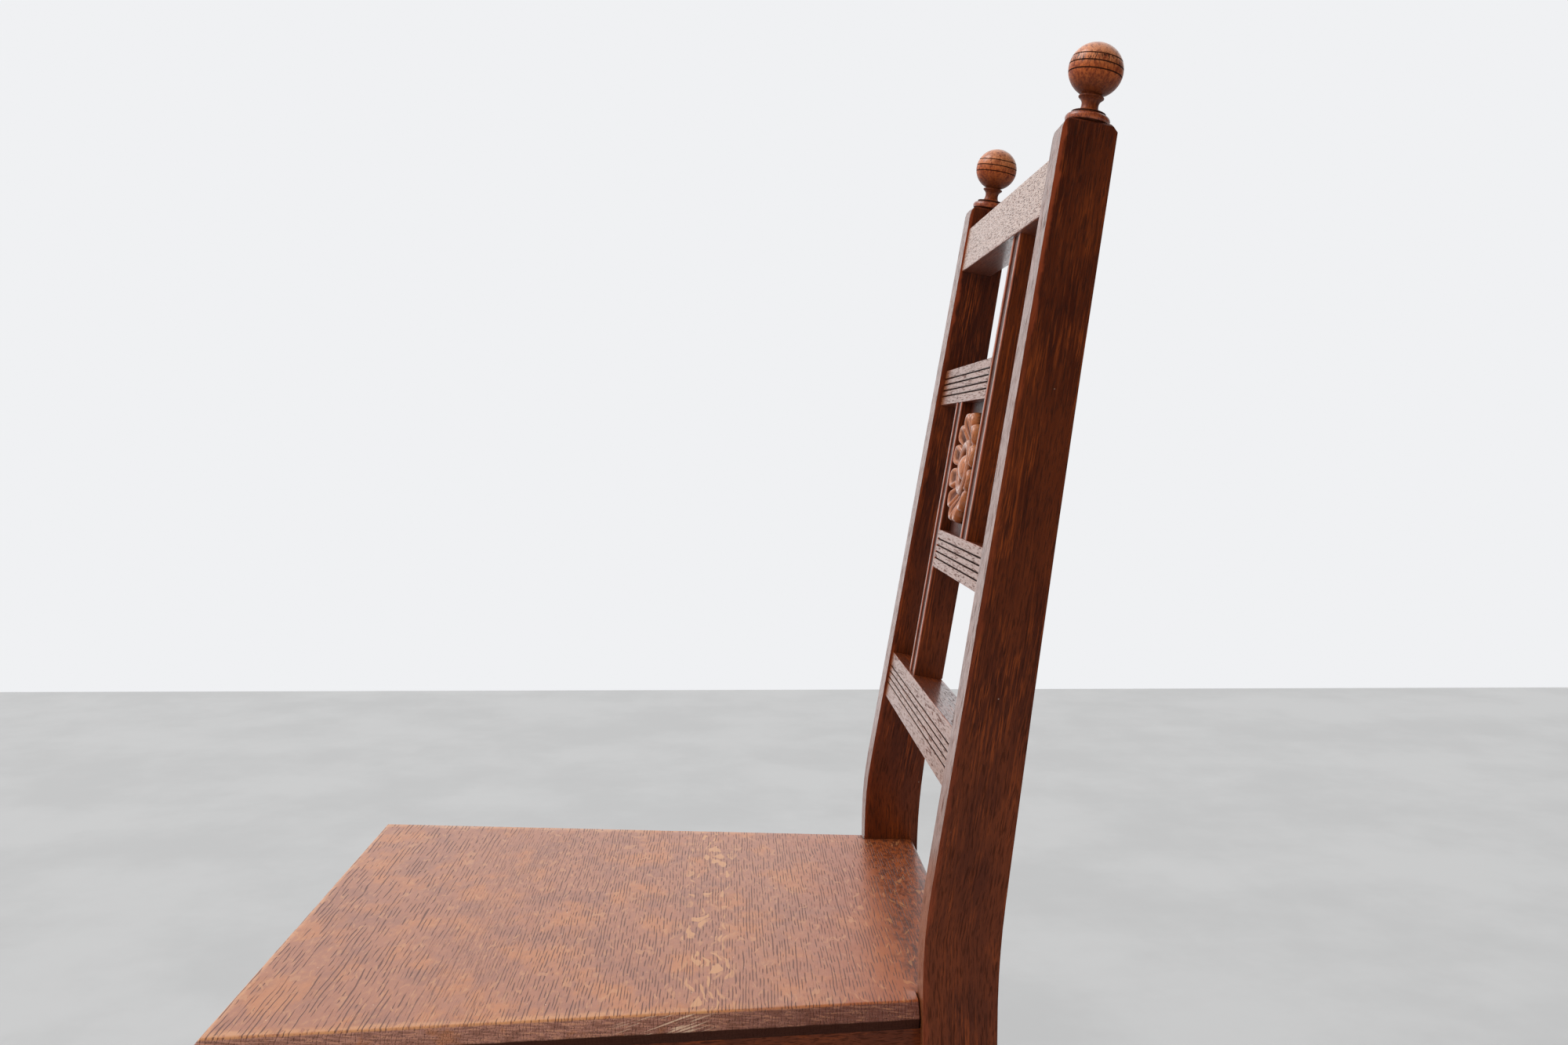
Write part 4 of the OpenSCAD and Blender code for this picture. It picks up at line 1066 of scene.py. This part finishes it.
def lamp(name, toward, strength, spread, shines=True):
    """A far, soft lamp that lights from the direction `toward`."""
    light = bpy.data.lights.new(name, "SUN")
    light.energy = strength
    light.angle = math.radians(spread)
    obj = bpy.data.objects.new(name, light)
    obj.location = toward * 3.0
    obj.rotation_euler = toward.to_track_quat("Z", "Y").to_euler()
    obj.visible_glossy = shines
    bpy.context.scene.collection.objects.link(obj)


def room_light(settings):
    """A pale wall for the camera, and softer light from the far side for all else."""
    world = bpy.data.worlds.new("room")
    bpy.context.scene.world = world
    world.use_nodes = True
    n = Nodes(world.node_tree)
    n.tree.nodes.clear()
    place = n.make("TexCoord", output="Generated")
    facing = n.make("VectorMath", {"operation": "DOT_PRODUCT"}, {0: place, 1: settings.bright_side}, "Value")
    colour = n.blend(n.ramp(facing, -0.35, 0.55), settings.room, settings.wall)
    mirrored = n.make("LightPath", output="Is Glossy Ray")
    unseen = n.make("Background", links={"Color": colour, "Strength": n.ramp(mirrored, 0.0, 1.0, 1.0, settings.sheen)})
    seen = n.make("Background", links={"Color": settings.wall})
    direct = n.make("LightPath", output="Is Camera Ray")
    chosen = n.make("MixShader", links={0: direct, 1: unseen, 2: seen})
    n.feed(n.tree.nodes.new("ShaderNodeOutputWorld").inputs["Surface"], chosen)


def floor_piece(settings):
    """A pale floor whose far edge is the horizon line behind the chair."""
    bm = bmesh.new()
    bmesh.ops.create_grid(bm, x_segments=1, y_segments=1, size=1.0)
    behind, around = 3.6, 9.0
    for v in bm.verts:
        v.co = Vector((-behind if v.co.x < 0 else around, around * v.co.y, 0.0))
    n = Finish("floor_paint")
    patch = 1 / 2.6
    cloudy = n.ramp(n.cloud(n.vector(n.x, n.y, 0.0), patch, patch, 5.0, 0.6), 0.36, 0.64)
    dark, light = (tuple(level * part for part in settings.floor) for level in (0.93, 1.03))
    paint = n.finish(n.blend(cloudy, dark, light), 0.7 + cloudy * 0.1, cloudy * 0.1, 0.0, 0.3)
    piece = placed(bm, "floor", paint)


class CHAIR_OT_stage(Operator):
    """Set up the floor, the lamps and the camera"""

    bl_idname = "chair.stage"
    bl_label = "Stage"

    def execute(self, context):
        s = context.scene.chair_stage
        room_light(s)
        floor_piece(s)
        lamp("key", Vector(s.key_from), s.key, 34.0)
        lamp("fill", Vector(s.fill_from), s.fill, 60.0, shines=False)
        data = bpy.data.cameras.new("camera")
        data.lens = s.lens
        data.clip_start = 0.01
        camera = bpy.data.objects.new("camera", data)
        look = Matrix(((0, 0, 1), (1, 0, 0), (0, 1, 0))).to_4x4()  # upright and looking along -X
        swing = Matrix.Rotation(s.yaw, 4, "Z") @ look
        aim = swing @ Matrix.Rotation(-s.pitch, 4, "X") @ Matrix.Rotation(s.roll, 4, "Z")
        camera.matrix_world = Matrix.Translation(s.place) @ aim
        context.scene.collection.objects.link(camera)
        context.scene.camera = camera
        context.scene.view_settings.view_transform = "Standard"
        return {"FINISHED"}


GROUPS = {
    "chair_seat": SeatSizes,
    "chair_back": BackSizes,
    "chair_finials": FinialSizes,
    "chair_carving": CarvingSizes,
    "chair_edges": EdgeSizes,
    "chair_wood": WoodColours,
    "chair_stage": StageSettings,
}
STEPS = (
    CHAIR_OT_seat, CHAIR_OT_posts, CHAIR_OT_finials, CHAIR_OT_back_rails, CHAIR_OT_slats, CHAIR_OT_panel,
    CHAIR_OT_base, CHAIR_OT_screws, CHAIR_OT_stage,
)


class CHAIR_PT_panel(Panel):
    """The chair's steps and sizes"""

    bl_idname = "CHAIR_PT_panel"
    bl_label = "Oak side chair"
    bl_space_type = "VIEW_3D"
    bl_region_type = "UI"
    bl_category = "Chair"

    def draw(self, context):
        column = self.layout.column()
        for step in STEPS:
            column.operator(step.bl_idname)
        for group, kind in GROUPS.items():
            box = self.layout.box()
            box.label(text=kind.__name__)
            for key in kind.__annotations__:
                box.prop(getattr(context.scene, group), key)


KINDS = (*GROUPS.values(), *STEPS, CHAIR_PT_panel)


def register():
    for kind in KINDS:
        bpy.utils.register_class(kind)
    for group, kind in GROUPS.items():
        setattr(bpy.types.Scene, group, PointerProperty(type=kind))


def unregister():
    for group in GROUPS:
        delattr(bpy.types.Scene, group)
    for kind in reversed(KINDS):
        bpy.utils.unregister_class(kind)


def main():
    register()
    for step in STEPS:
        prefix, action = step.bl_idname.split(".")
        if getattr(getattr(bpy.ops, prefix), action)() != {"FINISHED"}:
            raise RuntimeError(f"{step.bl_label} was not made")


if __name__ == "__main__":
    main()
